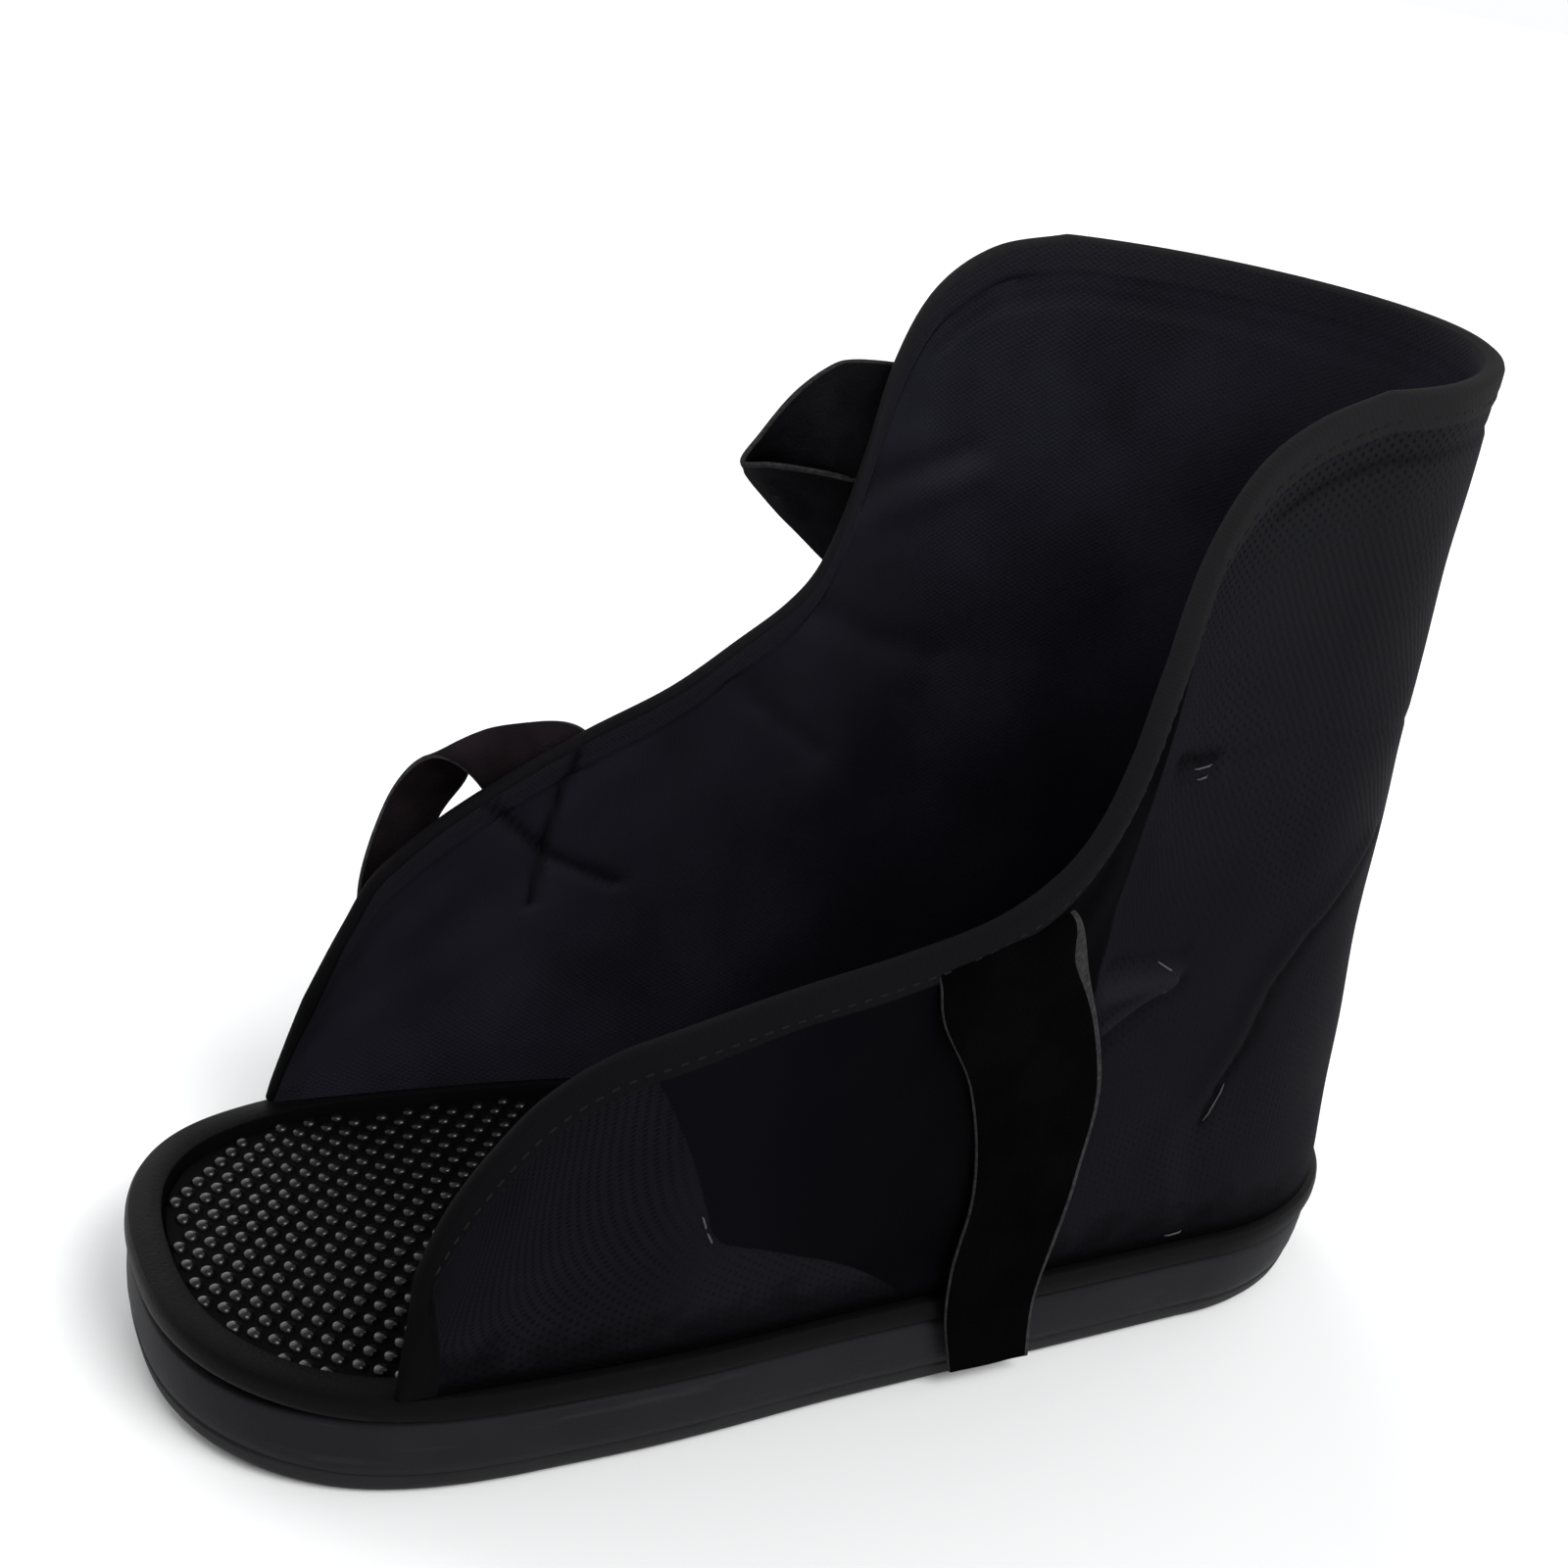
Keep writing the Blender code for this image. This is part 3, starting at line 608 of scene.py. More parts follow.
def side_columns(where, side):
    """Foot point, top point and belly of one flap at fractional section numbers."""
    tops = ("top_x", "top_z") if side > 0 else ("far_x", "far_z")
    keys = ("foot_x", *tops, "top_half", "belly")
    rows = [[getattr(section, key) for key in keys] for section in SECTIONS]
    foot_x, top_x, top_z, top_half, belly = curve(rows, where).T
    foot_x = foot_x * LENGTH
    top_x, top_z = side_place(top_x, top_z)
    top_half, belly = top_half * BALL_WIDTH / 2, belly * FLAP_BELLY
    foot_y = side * (side_half(foot_x) - UPPER_FOOT_INSET)
    foot = np.c_[foot_x, foot_y, np.full(len(foot_x), UPPER_FOOT_Z)]
    return foot, np.c_[top_x, side * top_half, top_z], side * belly


def back_columns(side):
    """Foot, top and turn of the columns from one flap to the middle of the back."""
    turn = np.linspace(0.0, pi / 2, BACK_COLUMNS + 1)[1:]
    plan = outline(UPPER_FOOT_INSET)[: len(near_outline())]
    foot = curve(plan[-HEEL_STEPS - 1:], turn / (pi / 2) * HEEL_STEPS)
    start = side_columns([len(SECTIONS) - 1.0], side)[1][0]
    reach = np.sin(turn)
    top = np.c_[
        start[0] + (BACK_TOP_X - start[0]) * reach,
        start[1] * np.cos(turn),
        start[2] + (SHAFT_HEIGHT - start[2]) * reach,
    ]
    foot = np.c_[foot[:, 0], side * foot[:, 1], np.full(len(foot), UPPER_FOOT_Z)]
    foot[-1, 1] = top[-1, 1] = 0.0
    return foot, top, turn


def upper_columns(side):
    """All columns of one half: foot, top and the belly or bow as a vector."""
    count = (len(SECTIONS) - 1) * SECTION_STEPS
    foot, top, belly = side_columns(np.arange(count + 1) / SECTION_STEPS, side)
    bulge = np.c_[np.zeros(len(belly)), belly, np.zeros(len(belly))]
    back_foot, back_top, turn = back_columns(side)
    amount = -BACK_BOW * np.sin(turn) + SECTIONS[-1].belly * FLAP_BELLY * np.cos(turn)
    back_bulge = np.c_[-np.sin(turn) * amount, side * np.cos(turn) * amount, np.zeros(len(turn))]
    back_bulge[-1, 1] = 0.0
    return join((foot, back_foot)), join((top, back_top)), join((bulge, back_bulge))


def grid_normals(grid):
    """Unit normals of a grid of points."""
    return unit(np.cross(np.gradient(grid, axis=0), np.gradient(grid, axis=1)))


def distance_to(x, z, points):
    """Distance from places to a line through points, all seen from the side."""
    best = np.full(np.shape(x), 1e9)
    line = [side_place(*point) for point in points]
    for (ax, az), (bx, bz) in zip(line, line[1:]):
        dx, dz = bx - ax, bz - az
        along = np.clip(((x - ax) * dx + (z - az) * dz) / (dx * dx + dz * dz), 0.0, 1.0)
        best = np.minimum(best, np.hypot(x - ax - dx * along, z - az - dz * along))
    return best


def marks_on(grid, marks):
    """How far one skin's marks move each point inwards, and their painted shade, negative for
    highlight.
    """
    x, y, z = np.moveaxis(grid, 2, 0)
    moved, shade, pale = np.zeros((3, *x.shape))
    for mark in marks:
        away = distance_to(x, z, mark.points)
        on_side = mark.side * y > 0.0
        moved += mark.depth * bell(away, mark.width) * on_side
        if mark.place in SHADED_MARKS:
            shade = np.maximum(shade, bell(away, SHADE_SPREAD * mark.width) * on_side)
        if mark.place in HIGHLIGHTED_MARKS:
            pale = np.maximum(pale, bell(away, mark.width) * on_side)
    return moved, shade - pale


def panel_inside(grid):
    """How far each point lies inside the pile panel of the left flap."""
    x, y, z = np.moveaxis(grid, 2, 0)
    foot_x, foot_z = side_place(*PANEL_FOOT)
    up = np.maximum(z - foot_z, 0.0)
    front = foot_x + PANEL_SLOPE * up + PANEL_BOW * up * up - x
    bottom = z - foot_z - PANEL_BOTTOM_SLOPE * (x - foot_x)
    bottom += PANEL_DIP * np.maximum(PANEL_DIP_X * LENGTH - x, 0.0) ** 2
    back = x - PANEL_BACK_X * LENGTH
    rounding = (np.maximum(PANEL_CORNER - away, 0.0) for away in (front, bottom))
    corner = PANEL_CORNER - np.hypot(*rounding)
    return np.where(y > 0.0, np.minimum.reduce([front, bottom, back, corner]), OFF_PANEL)


def build_upper(materials):
    """The hollow upper with its bound edge; returns the outer skin's points, normals and edge."""
    halves = zip(upper_columns(1.0), upper_columns(-1.0))
    foot, top, bulge = (join((near, far[-2::-1])) for near, far in halves)
    length = norm(top - foot, axis=1)
    edge_at = np.array((HEM_WIDTH + HEM_RAMP, *(HEM_WIDTH * share for share in HEM_ROWS), 0.0))
    body = np.linspace(0.0, 1.0, BODY_ROWS + 1)[None, :-1] * (1.0 - edge_at[0] / length)[:, None]
    rows = np.c_[body, 1.0 - edge_at[None, :] / length[:, None]]
    columns, count = rows.shape

    share = rows[:, :, None]
    base = foot[:, None] * (1 - share) + top[:, None] * share
    base += bulge[:, None] * np.sin(pi * share)
    outward = base * (0.0, 1.0, 0.0)
    outward[:, :, 0] = np.minimum(base[:, :, 0] - HEEL_ROUND_X, 0.0)
    normal = grid_normals(base)
    normal *= np.where(np.sum(normal * outward, axis=2, keepdims=True) < 0.0, -1.0, 1.0)
    normal[columns // 2, :, 1] = 0.0

    along = run_of(norm(np.diff(base, axis=0), axis=2))
    from_top = (1.0 - rows) * length[:, None]
    edge = np.minimum(from_top, np.minimum(along, along[-1] - along))
    along = along - along[columns // 2]
    up = rows * length[:, None]

    hem = smooth((HEM_WIDTH + HEM_RAMP - edge) / HEM_RAMP)
    seam = SEAM_DEPTH * bell(edge - HEM_SEAM, SEAM_WIDTH)
    wave = WAVE_HEIGHT * np.sin(2 * pi * (along / WAVE_ALONG + 0.4 * np.sin(up / WAVE_UP)))
    wave *= np.sin(2 * pi * up / WAVE_UP)
    wave *= smooth(edge / WAVE_FROM_EDGE) * smooth(up / WAVE_FROM_FOOT)
    high = base[:, :, 2] - UPPER_FOOT_Z - COLLAR_STITCH_FROM * SHAFT_RISE
    collar = COLLAR_DEPTH * bell(edge - COLLAR_STITCH, COLLAR_WIDTH) * smooth(high / COLLAR_FADE)
    panel = panel_inside(base)
    proud = HEM_STEP * hem + wave - seam - collar + PANEL_STEP * smooth(panel / 0.8)
    moved, outer_shade = marks_on(base, OUTER_MARKS)
    proud -= moved * (1.0 - hem)
    held = smooth(up / 4.0)
    outer = base + normal * (proud * held)[:, :, None]

    inner = base - normal * WALL
    moved, inner_shade = marks_on(inner, INNER_MARKS)
    inward = HEM_STEP_INSIDE * hem - moved * (1.0 - hem) - seam * 0.7
    inward -= wave * 0.8 + collar * 0.8
    inner -= normal * (inward * held)[:, :, None]
    outer[:, 0, 2] = inner[:, 0, 2] = UPPER_FOOT_Z

    # The bound edge runs up the left front, round the topline and down the right front
    front = np.arange(count - 1)
    c = join((front * 0, np.arange(columns), front * 0 + columns - 1))
    r = join((front, np.full(columns, count - 1), front[::-1]))
    out_edge, in_edge = outer[c, r], inner[c, r]
    middle = (out_edge + in_edge) / 2
    outwards = unit(np.cross(np.gradient(middle, axis=0), unit(out_edge - in_edge)))
    outwards *= np.sign(np.sum(outwards * (top - foot)[c]))
    turn = np.linspace(0.0, pi, RIM_STEPS + 1)[1:-1, None, None]
    bead = middle + (out_edge - in_edge) / 2 * np.cos(turn) + outwards * RIM_CROWN * np.sin(turn)
    bead = np.moveaxis(bead, 0, 1)
    bead[[0, -1], :, 2] = UPPER_FOOT_Z

    at = np.arange(2 * columns * count).reshape(2, columns, count)
    beads = at.size + np.arange(len(c) * (RIM_STEPS - 1)).reshape(len(c), -1)
    strips = np.c_[at[0, c, r], beads, at[1, c, r]]
    skin = quads(at[0].T)
    lining = [face[::-1] for face in quads(at[1].T) + quads(at[:, :, 0])]
    rim = quads(strips) + [strips[0, ::-1].tolist(), strips[-1].tolist()]
    slots = [0] * len(skin) + [1] * len(lining) + [0] * len(rim)

    points = join([part.reshape(-1, 3) for part in (outer, inner, bead)])
    flat = np.stack((along, up, np.zeros(up.shape)), axis=2)
    skin_flat = flat.reshape(-1, 3)
    values = {
        "cloth": join((skin_flat, skin_flat, np.repeat(flat[c, r], RIM_STEPS - 1, axis=0))),
        "edge": join((edge.ravel(), edge.ravel(), np.zeros(beads.size))),
        "panel": join((panel.ravel(), np.full(edge.size + beads.size, OFF_PANEL))),
        # Painted shade of the marks and the collar stitch, less the painted highlight of the snag
        "shade_and_highlight": join(((outer_shade + collar).ravel(), inner_shade.ravel(),
                        np.zeros(beads.size))),
    }
    piece = make_piece("upper_cloth", points, skin + lining + rim, materials,
                       ["upper"], slots, values)
    return outer, normal, edge


def flap_half(x, z, side):
    """Half-width of one flap's outer face at places seen from the side."""
    low = np.zeros(x.shape)
    high = np.full(x.shape, len(SECTIONS) - 1.0)
    for _ in range(HALVINGS):
        middle = (low + high) / 2
        foot, top, belly = side_columns(middle, side)
        share = (z - UPPER_FOOT_Z) / (top[:, 2] - UPPER_FOOT_Z)
        ahead = foot[:, 0] + (top[:, 0] - foot[:, 0]) * share > x
        low = np.where(ahead, middle, low)
        high = np.where(ahead, high, middle)
    bulge = belly * np.sin(pi * np.clip(share, 0.0, 1.0))
    return side * (foot[:, 1] + (top[:, 1] - foot[:, 1]) * share + bulge)


def build_strap(name, folds, side, reach, materials, node, turned=0.0):
    """A pile strap lofted through its folds, with rounded cut edges and a soft ripple."""
    rows = np.array([fold[1:] for fold in folds], float)
    steps = (len(folds) - 1) * STRAP_STEPS
    line = curve(rows, np.arange(steps + 1) / STRAP_STEPS)
    # The outermost strip at the heel edge shows the cut edge, and is wider where it turns over
    strip = TURNED_STRIP + turned * bell(np.arange(steps + 1) - TURNED_ROW, TURNED_ROWS)
    share = np.linspace(0.0, 1.0, STRAP_WIDTH_POINTS - 1)[None, :] * (1.0 - strip[:, None])
    share = np.c_[share, np.ones(steps + 1)][:, :, None]
    grid = line[:, None, :3] * (1 - share) + line[:, None, 3:] * share
    x, z = side_place(grid[:, :, 0], grid[:, :, 1])
    out = GAP + grid[:, :, 2] * reach
    half = flap_half(x.ravel(), z.ravel(), side).reshape(x.shape)
    middle = np.stack((x, side * (half + out + STRAP_THICKNESS / 2), z), axis=2)
    normal = grid_normals(middle)
    if normal[0, 0, 1] * side < 0.0:
        normal = -normal
    along = run_of(norm(np.diff(middle, axis=0), axis=2).mean(axis=1))
    free = smooth(grid[:, :, 2] / 0.2)
    across = np.linspace(-1.0, 1.0, STRAP_WIDTH_POINTS)[None, :]
    ripple = np.sin(along[:, None] / RIPPLE_LENGTH + 1.4 * across) * across ** 2
    middle += normal * (RIPPLE_HEIGHT * ripple * (0.3 + 0.7 * free))[:, :, None]

    # The section is a flat loop: outer face, rounded edge, inner face, rounded edge
    turn = np.linspace(0.0, pi, STRAP_EDGE_STEPS + 1)[1:-1, None]
    loops = []
    for row, out_way in zip(middle, normal):
        lift = out_way * PILE_THICKNESS / 2
        wide = unit(np.gradient(row, axis=0)) * STRAP_EDGE_ROUND
        loops.append(join((row + lift, row[-1] + lift[-1] * np.cos(turn) + wide[-1] * np.sin(turn),
                           (row - lift)[::-1],
                           row[0] - lift[0] * np.cos(turn) - wide[0] * np.sin(turn))))
    points = join(loops)
    count = len(loops[0])
    faces = side_faces(len(loops), count)
    place = np.arange(len(faces)) % count
    heel_edge = (place > STRAP_WIDTH_POINTS - 3) & (place < STRAP_WIDTH_POINTS + turn.size)
    toe_edge = (place > count - STRAP_EDGE_STEPS) & (place < count - 1)
    faces += [list(range(count))[::-1], list(range(len(points) - count, len(points)))]
    slots = np.r_[heel_edge | toe_edge, True, True]
    wide = norm(np.diff(middle, axis=1), axis=2).sum(axis=1).mean()
    piece = make_piece(name, points, faces, materials, [node], slots)


def stitch_points(start, end, normal, radius=THREAD):
    """A short thread laid from start to end, its ends dipping into the cloth."""
    way = unit(end - start)
    beside = unit(np.cross(normal, way))
    turn = np.linspace(0.0, 2 * pi, STITCH_SIDES, endpoint=False)[:, None]
    circle = radius * (beside * np.cos(turn) + normal * np.sin(turn) * 0.8)
    rings = ((0.0, THREAD_DIP, 0.5), (0.2, 0.0, 1.0), (0.8, 0.0, 1.0), (1.0, THREAD_DIP, 0.5))
    return join([start * (1 - share) + end * share + normal * dip + circle * size
                 for share, dip, size in rings])


def sew(path, normals):
    """Stitches along a line on the cloth."""
    along = run_of(norm(np.diff(path, axis=0), axis=1))

    def read(rows, where):
        return np.stack([np.interp(where, along, rows[:, k]) for k in range(3)], axis=1)

    starts = np.arange(STITCH_PITCH / 2, along[-1] - STITCH_LENGTH, STITCH_PITCH)
    a, b = read(path, starts), read(path, starts + STITCH_LENGTH)
    up = unit(read(normals, starts + STITCH_LENGTH / 2))
    return [stitch_points(*row) for row in zip(a, b, up)]


def build_stitches(name, stitches, material):
    """One piece of many stitches."""
    size = 4 * STITCH_SIDES
    ends = [list(range(STITCH_SIDES))[::-1], list(range(size - STITCH_SIDES, size))]
    one = side_faces(4, STITCH_SIDES) + ends
    faces = [[n * size + k for k in face] for n in range(len(stitches)) for face in one]
    make_piece(name, join(stitches), faces, [material])


class Look:
    """A Principled material, with short calls that add the nodes of its pattern."""

    def __init__(self, name, colour, roughness, gloss=0.5):
        self.material = bpy.data.materials.new(name)
        self.material.use_nodes = True
        self.tree = self.material.node_tree
        self.shader = self.tree.nodes["Principled BSDF"]
        for socket, value in (("Base Color", (*colour, 1.0)), ("Roughness", roughness),
                              ("Specular IOR Level", gloss)):
            self.shader.inputs[socket].default_value = value

    def node(self, kind, inputs, output=0, **settings):
        """Adds a node; inputs are numbers, colours or other nodes' outputs."""
        made = self.tree.nodes.new("ShaderNode" + kind)
        for key, value in settings.items():
            setattr(made, key, value)
        for key, value in inputs.items():
            self.give(made.inputs[key], value)
        return made.outputs[output]

    def give(self, socket, value):
        """Links an output to a socket, or sets its number."""
        if isinstance(value, bpy.types.NodeSocket):
            self.tree.links.new(value, socket)
        else:
            socket.default_value = value

    def math(self, operation, a, b=0.0):
        return self.node("Math", {0: a, 1: b}, operation=operation)

    def times(self, a, b):
        return self.math("MULTIPLY", a, b)

    def dot(self, a, b):
        return self.node("VectorMath", {0: a, 1: b}, "Value", operation="DOT_PRODUCT")

    def part(self, vector, axis):
        return self.node("SeparateXYZ", {0: vector}, axis)

    def place(self):
        return self.node("TexCoord", {}, "Object")

    def noise(self, vector, scale, detail=3.0):
        return self.node("TexNoise", {"Vector": vector, "Scale": scale, "Detail": detail})

    def value(self, name, output="Fac"):
        return self.node("Attribute", {}, output, attribute_name=name)

    def spread(self, value, low, high, to_low=0.0, to_high=1.0):
        return self.node("MapRange", {0: value, 1: low, 2: high, 3: to_low, 4: to_high})

    def mix(self, share, a, b):
        return self.node("Mix", {0: share, 6: a, 7: b}, 2, data_type="RGBA")

    def fade(self, value, low, high, a, b, most=1.0):
        """Turns colour a into b while value goes from low to high."""
        return self.mix(self.spread(value, low, high, 0.0, most), a, b)

    def bump(self, height, distance):
        return self.node("Bump", {"Height": height, "Distance": distance * MM, "Strength": 1.0})

    def finish(self, colour, roughness=None, normal=None):
        for name, value in (("Base Color", colour), ("Roughness", roughness), ("Normal", normal)):
            if value is not None:
                self.give(self.shader.inputs[name], value)
        return self.material


def grey(level, blue=1.0):
    """A near-black colour, a little bluer where asked."""
    return (level, level, level * blue, 1.0)


def hex_holes(look, flat, pitch):
    """Peaks of a honeycomb of the given pitch, from -0.5 to 1, on flat cloth coordinates."""
    size = 4 * pi / (sqrt(3.0) * pitch)
    waves = []
    for turn in (0.0, pi / 3, 2 * pi / 3):
        way = (cos(turn) * size, sin(turn) * size, 0.0)
        waves.append(look.math("COSINE", look.dot(flat, way)))
    total = look.math("ADD", look.math("ADD", waves[0], waves[1]), waves[2])
    return look.math("DIVIDE", total, 3.0)


def mesh_cloth():
    """Outer skin: knitted mesh with small holes, the pile panel and the binding."""
    look = Look("mesh_cloth", (0.007, 0.007, 0.009), 0.78, 0.018)
    flat = look.value("cloth", "Vector")
    edge = look.value("edge")
    shade_and_highlight = look.value("shade_and_highlight")
    place = look.place()
    ahead, high, up = look.part(place, 0), look.part(place, 2), look.part(flat, 1)
    broad = look.noise(place, 22.0)
    fine = look.noise(flat, 2.2, 1.0)

    # The holes show in parts, near the hem of the shaft and over the forefoot
    near_hem = look.times(look.spread(edge, 34.0, 10.0), look.spread(high, 0.14, 0.17))
    at_toe = look.spread(ahead, 0.052, 0.066, 0.0, 0.85)
    open_share = look.math("MAXIMUM", look.spread(broad, 0.42, 0.6, 0.08, 0.5),
                           look.math("MAXIMUM", near_hem, at_toe))
    hole = look.times(look.spread(hex_holes(look, flat, MESH_PITCH), 0.25, 0.8), open_share)
    twill = look.math("SINE", look.dot(flat, (2.6, 2.0, 0.0)))
    twill = look.times(twill, look.spread(high, 0.1, 0.15, 0.0, 0.3))
    twill = look.times(twill, look.math("SUBTRACT", 1.0, open_share))

    # Painted light and shade: the shaft is paler at the top, where the light falls from above, and
    # the foot line dark and ragged
    cloth = look.fade(broad, 0.35, 0.65, grey(0.0042, 1.4), grey(0.006, 1.4))
    # Painted light: the cloth turns paler higher up the shaft
    cloth = look.fade(high, 0.13, 0.21, cloth, grey(0.013, 1.15), 0.45)
    cloth = look.mix(look.times(hole, 0.7), cloth, grey(0.0016, 1.3))
    pile = look.fade(fine, 0.3, 0.7, grey(0.0002, 1.9), grey(0.0006, 1.9))
    # Painted shadow of the instep strap: the pile is darker under and behind the strap, paler
    # towards the toe
    pile = look.fade(ahead, 0.005, 0.048, pile, grey(0.0024, 1.7), 0.75)
    on_panel = look.spread(look.value("panel"), -0.2, 0.3)
    cloth = look.mix(on_panel, cloth, pile)
    # Painted shade: a dark ragged band above the foot line, near black at the foot where the upper
    # meets the rim
    ragged = look.math("ADD", up, look.spread(look.noise(flat, 0.12, 4.0), 0.3, 0.7, -4.0, 4.0))
    cloth = look.fade(ragged, 13.0, 5.0, cloth, (0.0011, 0.0009, 0.0016, 1.0), 0.8)
    cloth = look.fade(up, 4.2, 1.6, cloth, grey(0.0002), 0.95)
    # Painted highlight on the snag's swell, where the values are negative
    cloth = look.fade(shade_and_highlight, -0.15, -1.0, cloth, grey(0.016, 1.15), 0.5)
    # Painted shade in the tack, the counter seams and along the collar stitch
    cloth = look.mix(look.times(shade_and_highlight, 0.75), cloth, grey(0.0005, 1.5))

    rib = look.math("SINE", look.dot(flat, (3.4, 3.4, 0.0)))
    # Painted light: the binding and its bead turn paler the higher they run
    tape = look.fade(high, 0.05, 0.11, grey(0.002, 1.15), grey(0.0048, 1.15))
    tape = look.fade(high, 0.12, 0.19, tape, grey(0.0125, 1.06))
    tape = look.fade(rib, -1.0, 1.0, tape, grey(0.002, 1.2), 0.12)
    on_hem = look.spread(edge, *HEM_BLEND)
    colour = look.mix(on_hem, cloth, tape)

    plain = look.math("SUBTRACT", 1.0, look.math("MAXIMUM", on_hem, on_panel))
    height = look.math("ADD", look.math("SUBTRACT", look.times(fine, 0.3), hole), twill)
    height = look.times(height, plain)
    height = look.math("ADD", height, look.times(rib, look.times(on_hem, 0.05)))
    height = look.math("ADD", height, look.times(fine, 0.35))
    return look.finish(colour, look.spread(broad, 0.3, 0.7, 0.66, 0.84), look.bump(height, 0.22))


def lining_cloth():
    """Inner skin: smooth brushed lining with a fine weave."""
    look = Look("lining_cloth", (0.006, 0.006, 0.009), 0.7, 0.08)
    flat = look.value("cloth", "Vector")
    broad = look.noise(look.place(), 30.0)
    fine = look.noise(flat, 3.0, 2.0)
    cloth = look.fade(broad, 0.35, 0.65, grey(0.0065, 1.55), grey(0.0105, 1.55))
    cloth = look.fade(look.value("edge"), *HEM_BLEND, cloth, grey(0.0088, 1.45))
    # Painted shade in the lining's cross dents
    cloth = look.mix(look.times(look.value("shade_and_highlight"), 0.85), cloth, grey(0.001, 1.5))
    height = look.math("ADD", look.times(hex_holes(look, flat, WEAVE_PITCH), 0.35), fine)
    return look.finish(cloth, look.spread(broad, 0.3, 0.7, 0.5, 0.66), look.bump(height, 0.16))


def mottled(name, base, roughness, gloss, tones, fine, relief, broad=None, edges=(0.3, 0.7),
            worn=None):
    """A plain material: two tones mixed by a broad pattern, over the relief of a fine grain."""
    look = Look(name, base, roughness, gloss)
    place = look.place()
    grain = look.noise(place, *fine)
    pattern = look.noise(place, *broad) if broad else grain
    rough = look.spread(pattern, 0.3, 0.7, *worn) if worn else None
    colour = look.fade(pattern, *edges, *tones)
    return look.finish(colour, rough, look.bump(grain, relief))


def pile_cloth(name, level, warm=1.0):
    """Soft loop pile of the straps."""
    tones = ((level * 0.6 * warm, level * 0.6, level * 0.7, 1.0),
             (level * 1.5 * warm, level * 1.4, level * 1.7, 1.0))
    return mottled(name, (level,) * 3, 0.95, 0.01, tones, (1500.0, 2.0), 0.35, (60.0, 3.0),
                   (0.35, 0.65))


def cut_edge():
    """Cut edges of the straps, where the lighter foam shows."""
    return mottled("strap_edge", (0.02, 0.019, 0.02), 0.85, 0.05, (grey(0.013), grey(0.032)),
                   (900.0, 2.0), 0.2)


def foam():
    """Charcoal foam of the midsole, a little scuffed, darker on its upper lip."""
    look = Look("charcoal_foam_skin", (0.02, 0.02, 0.022), 0.7, 0.04)
    place = look.place()
    grain = look.noise(place, 1400.0, 3.0)
    cloudy = look.noise(place, 38.0, 3.0)
    scuffs = look.noise(look.node("Mapping", {0: place, 3: (30.0, 30.0, 420.0)}), 1.0, 4.0)
    band = look.fade(cloudy, 0.3, 0.7, grey(0.0098, 1.14), grey(0.014, 1.14))
    band = look.fade(scuffs, 0.62, 0.75, band, grey(0.022, 1.08), 0.5)
    lip = look.spread(look.part(place, 2), (BAND_TOP + 0.4) * MM, (BAND_TOP + 1.2) * MM)
    colour = look.mix(look.times(lip, 0.94), band, grey(0.0013, 1.2))
    rough = look.spread(cloudy, 0.3, 0.7, 0.42, 0.6)
    return look.finish(colour, rough, look.bump(grain, 0.09))


def rubber():
    """Outsole rubber, dusty in parts."""
    return mottled("outsole_rubber_skin", (0.017, 0.017, 0.019), 0.7, 0.08,
                   (grey(0.0092, 1.1), grey(0.015, 1.08)), (1100.0, 3.0), 0.1, (55.0, 4.0),
                   (0.35, 0.7), (0.5, 0.7))


def footbed_rubber(name, level, roughness, gloss):
    """Footbed rubber: dull between the studs, slightly shiny on them."""
    return mottled(name, (level,) * 3, roughness, gloss, (grey(level * 0.6), grey(level * 1.4)),
                   (900.0, 2.0), 0.05, (45.0, 3.0))


def thread(name, level):
    """Sewing thread."""
    return mottled(name, (level, level, level * 1.1), 0.75, 0.08,
                   (grey(level * 0.7, 1.1), grey(level * 1.3, 1.1)), (2500.0, 1.0), 0.08)


def aimed(back, at, roll=0.0):
    """Place and turn of a lamp or camera that looks against back, rolled about its own axis."""
    back = unit(np.array(back, float))
    right = unit(np.cross((0.0, 0.0, 1.0), back))
    up = np.cross(back, right)
    turned = np.eye(4)
    turned[:3, 0] = cos(roll) * right + sin(roll) * up
    turned[:3, 1] = cos(roll) * up - sin(roll) * right
    turned[:3, 2] = back
    turned[:3, 3] = at
    return Matrix(turned.tolist())


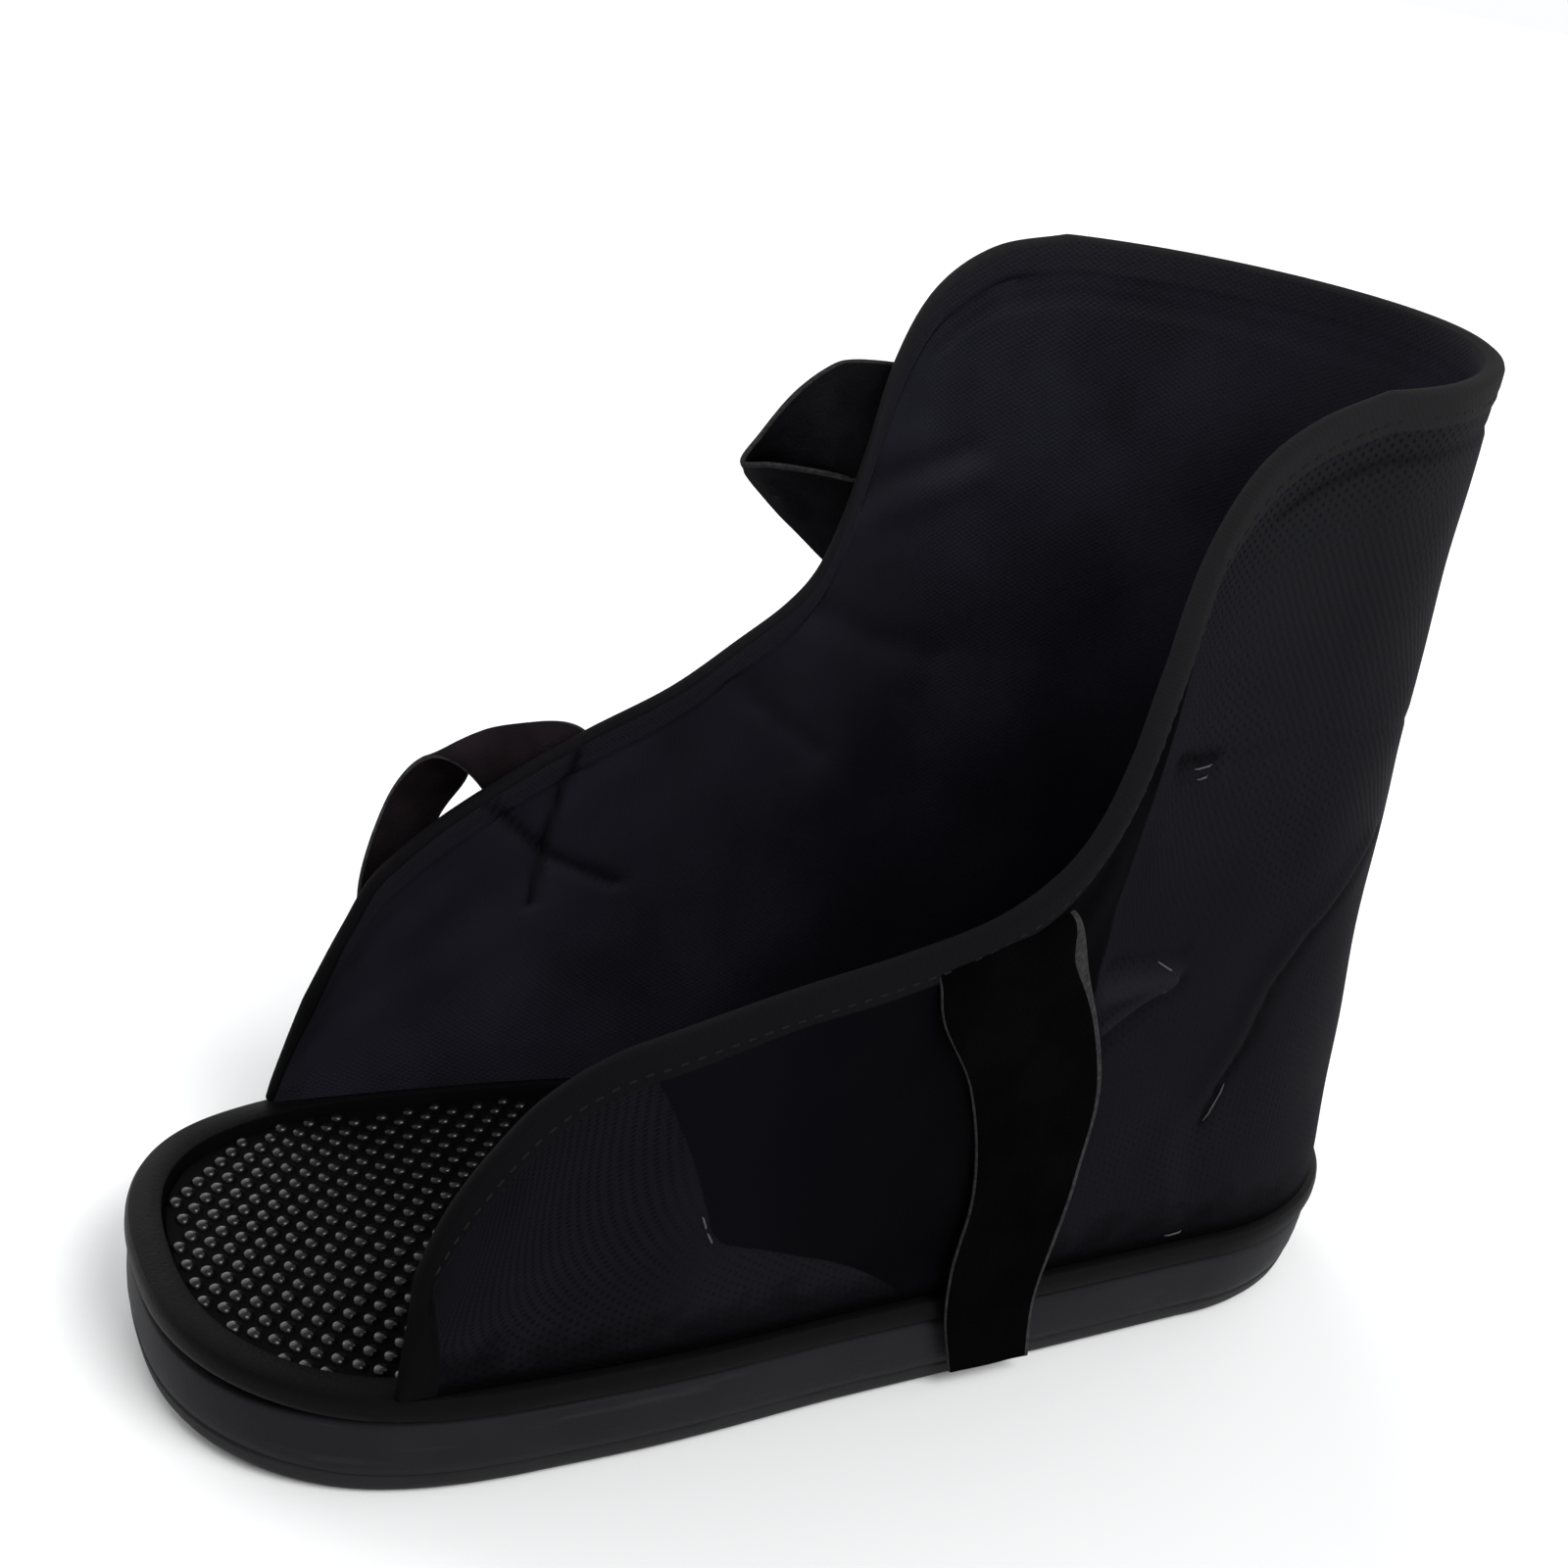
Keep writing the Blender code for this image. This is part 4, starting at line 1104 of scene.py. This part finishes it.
def build_stage():
    """Pale floor, soft lights and a pale surround."""
    mesh = bpy.data.meshes.new("floor")
    corners = ((-1, -1), (1, -1), (1, 1), (-1, 1))
    mesh.from_pydata([(x * FLOOR_REACH, y * FLOOR_REACH, 0.0) for x, y in corners], [],
                     [(0, 1, 2, 3)])
    floor = add("floor", mesh)
    look = Look("floor_paint", (0.86, 0.86, 0.86), 0.9)
    cloudy = look.noise(look.place(), 2.0)
    mesh.materials.append(look.finish(look.fade(cloudy, 0.3, 0.7, grey(0.88), grey(0.9))))

    world = bpy.data.worlds.new("surround")
    bpy.context.scene.world = world
    world.use_nodes = True
    nodes, links = world.node_tree.nodes, world.node_tree.links
    background = nodes["Background"]
    background.inputs["Color"].default_value = (0.97, 0.985, 1.0, 1.0)
    place = nodes.new("ShaderNodeTexCoord")
    parts = nodes.new("ShaderNodeSeparateXYZ")
    fade = nodes.new("ShaderNodeMapRange")
    for number, value in enumerate((0.02, 0.3, 1.0, 0.5), start=1):
        fade.inputs[number].default_value = value
    links.new(place.outputs["Generated"], parts.inputs[0])
    links.new(parts.outputs[2], fade.inputs[0])
    links.new(fade.outputs[0], background.inputs["Strength"])

    for name, way, angle, power in (
        ("sun", (-0.3, 0.75, 0.95), 36.0, 2.3),
        ("fill", (0.9, -0.5, 0.9), 70.0, 0.4),
        ("right", (0.2, -0.9, 0.45), 70.0, 1.6),
        ("back", (-1.0, -0.2, 0.4), 70.0, 0.9),
    ):
        data = bpy.data.lights.new(name, "SUN")
        data.angle = radians(angle)
        data.energy = power
        add(name, data).matrix_world = aimed(way, (0.0, 0.0, 1.0))


def build_camera():
    """Camera at the photograph's angle to the shoe."""
    azimuth, elevation, roll = (radians(angle) for angle in CAMERA_TURN)
    level = cos(elevation)
    back = np.array((level * sin(azimuth), level * cos(azimuth), sin(elevation)))
    data = bpy.data.cameras.new("camera")
    data.sensor_width = SENSOR
    data.sensor_fit = "HORIZONTAL"
    data.lens = CAMERA_FOCAL * SENSOR
    data.shift_x, data.shift_y = CAMERA_SHIFT
    data.clip_start = 0.01
    camera = add("camera", data)
    at = (np.array(CAMERA_TARGET) + back * CAMERA_DISTANCE) * MM
    camera.matrix_world = aimed(back, at, roll)
    bpy.context.scene.camera = camera


def main():
    build_camera()
    build_stage()
    bpy.context.scene.view_settings.view_transform = "Standard"

    build_outsole(rubber())
    build_midsole(foam())
    # Painted shade between the studs: the base is a darker copy of the stud rubber, besides being
    # duller
    build_footbed([footbed_rubber("footbed_base", 0.0012, 0.85, 0.04),
                   footbed_rubber("footbed_stud", 0.002, 0.26, 0.36)])
    outer, normal, edge = build_upper([mesh_cloth(), lining_cloth()])

    edge_skin = cut_edge()
    build_strap("instep_strap_pile", INSTEP_FOLDS, 1.0, INSTEP_REACH,
                [pile_cloth("pile_instep", 0.0009), edge_skin],
                "instep_strap", INSTEP_TURNED)
    build_strap("forefoot_strap_pile", FOREFOOT_FOLDS, -1.0, FOREFOOT_REACH,
                [pile_cloth("pile_forefoot", 0.0058, 1.3), edge_skin],
                "forefoot_strap")
    build_strap("ankle_strap_pile", ANKLE_FOLDS, -1.0, ANKLE_REACH,
                [pile_cloth("pile_ankle", 0.0058), edge_skin], "ankle_strap")

    # Binding stitches follow the row that lies nearest to the hem's seam
    row = int(np.argmin(np.abs(edge[len(edge) // 2] - HEM_SEAM)))
    keep = edge[:, row] > 0.7 * HEM_WIDTH
    lines = sew(outer[keep, row], normal[keep, row])
    build_stitches("binding_stitches", lines, thread("thread_dark", 0.006))

    # Each light thread lies on the outer skin, at the points nearest to its two places
    light = []
    left = outer[: len(outer) // 2]
    for pair in LIGHT_THREADS:
        ends = []
        for x, z in (side_place(*place) for place in pair):
            aside = np.hypot(left[:, :, 0] - x, left[:, :, 2] - z)
            near = np.argsort(aside, axis=None)[:4]
            weight = 1.0 / (aside.ravel()[near] + 0.2)[:, None]
            spot = (left.reshape(-1, 3)[near] * weight).sum(axis=0) / weight.sum()
            up = unit((normal[: len(left)].reshape(-1, 3)[near] * weight).sum(axis=0))
            ends.append((spot + up * LIGHT_THREAD, up))
        light.append(stitch_points(ends[0][0], ends[1][0], ends[0][1], LIGHT_THREAD))
    build_stitches("light_threads", light, thread("thread_light", 0.06))


main()
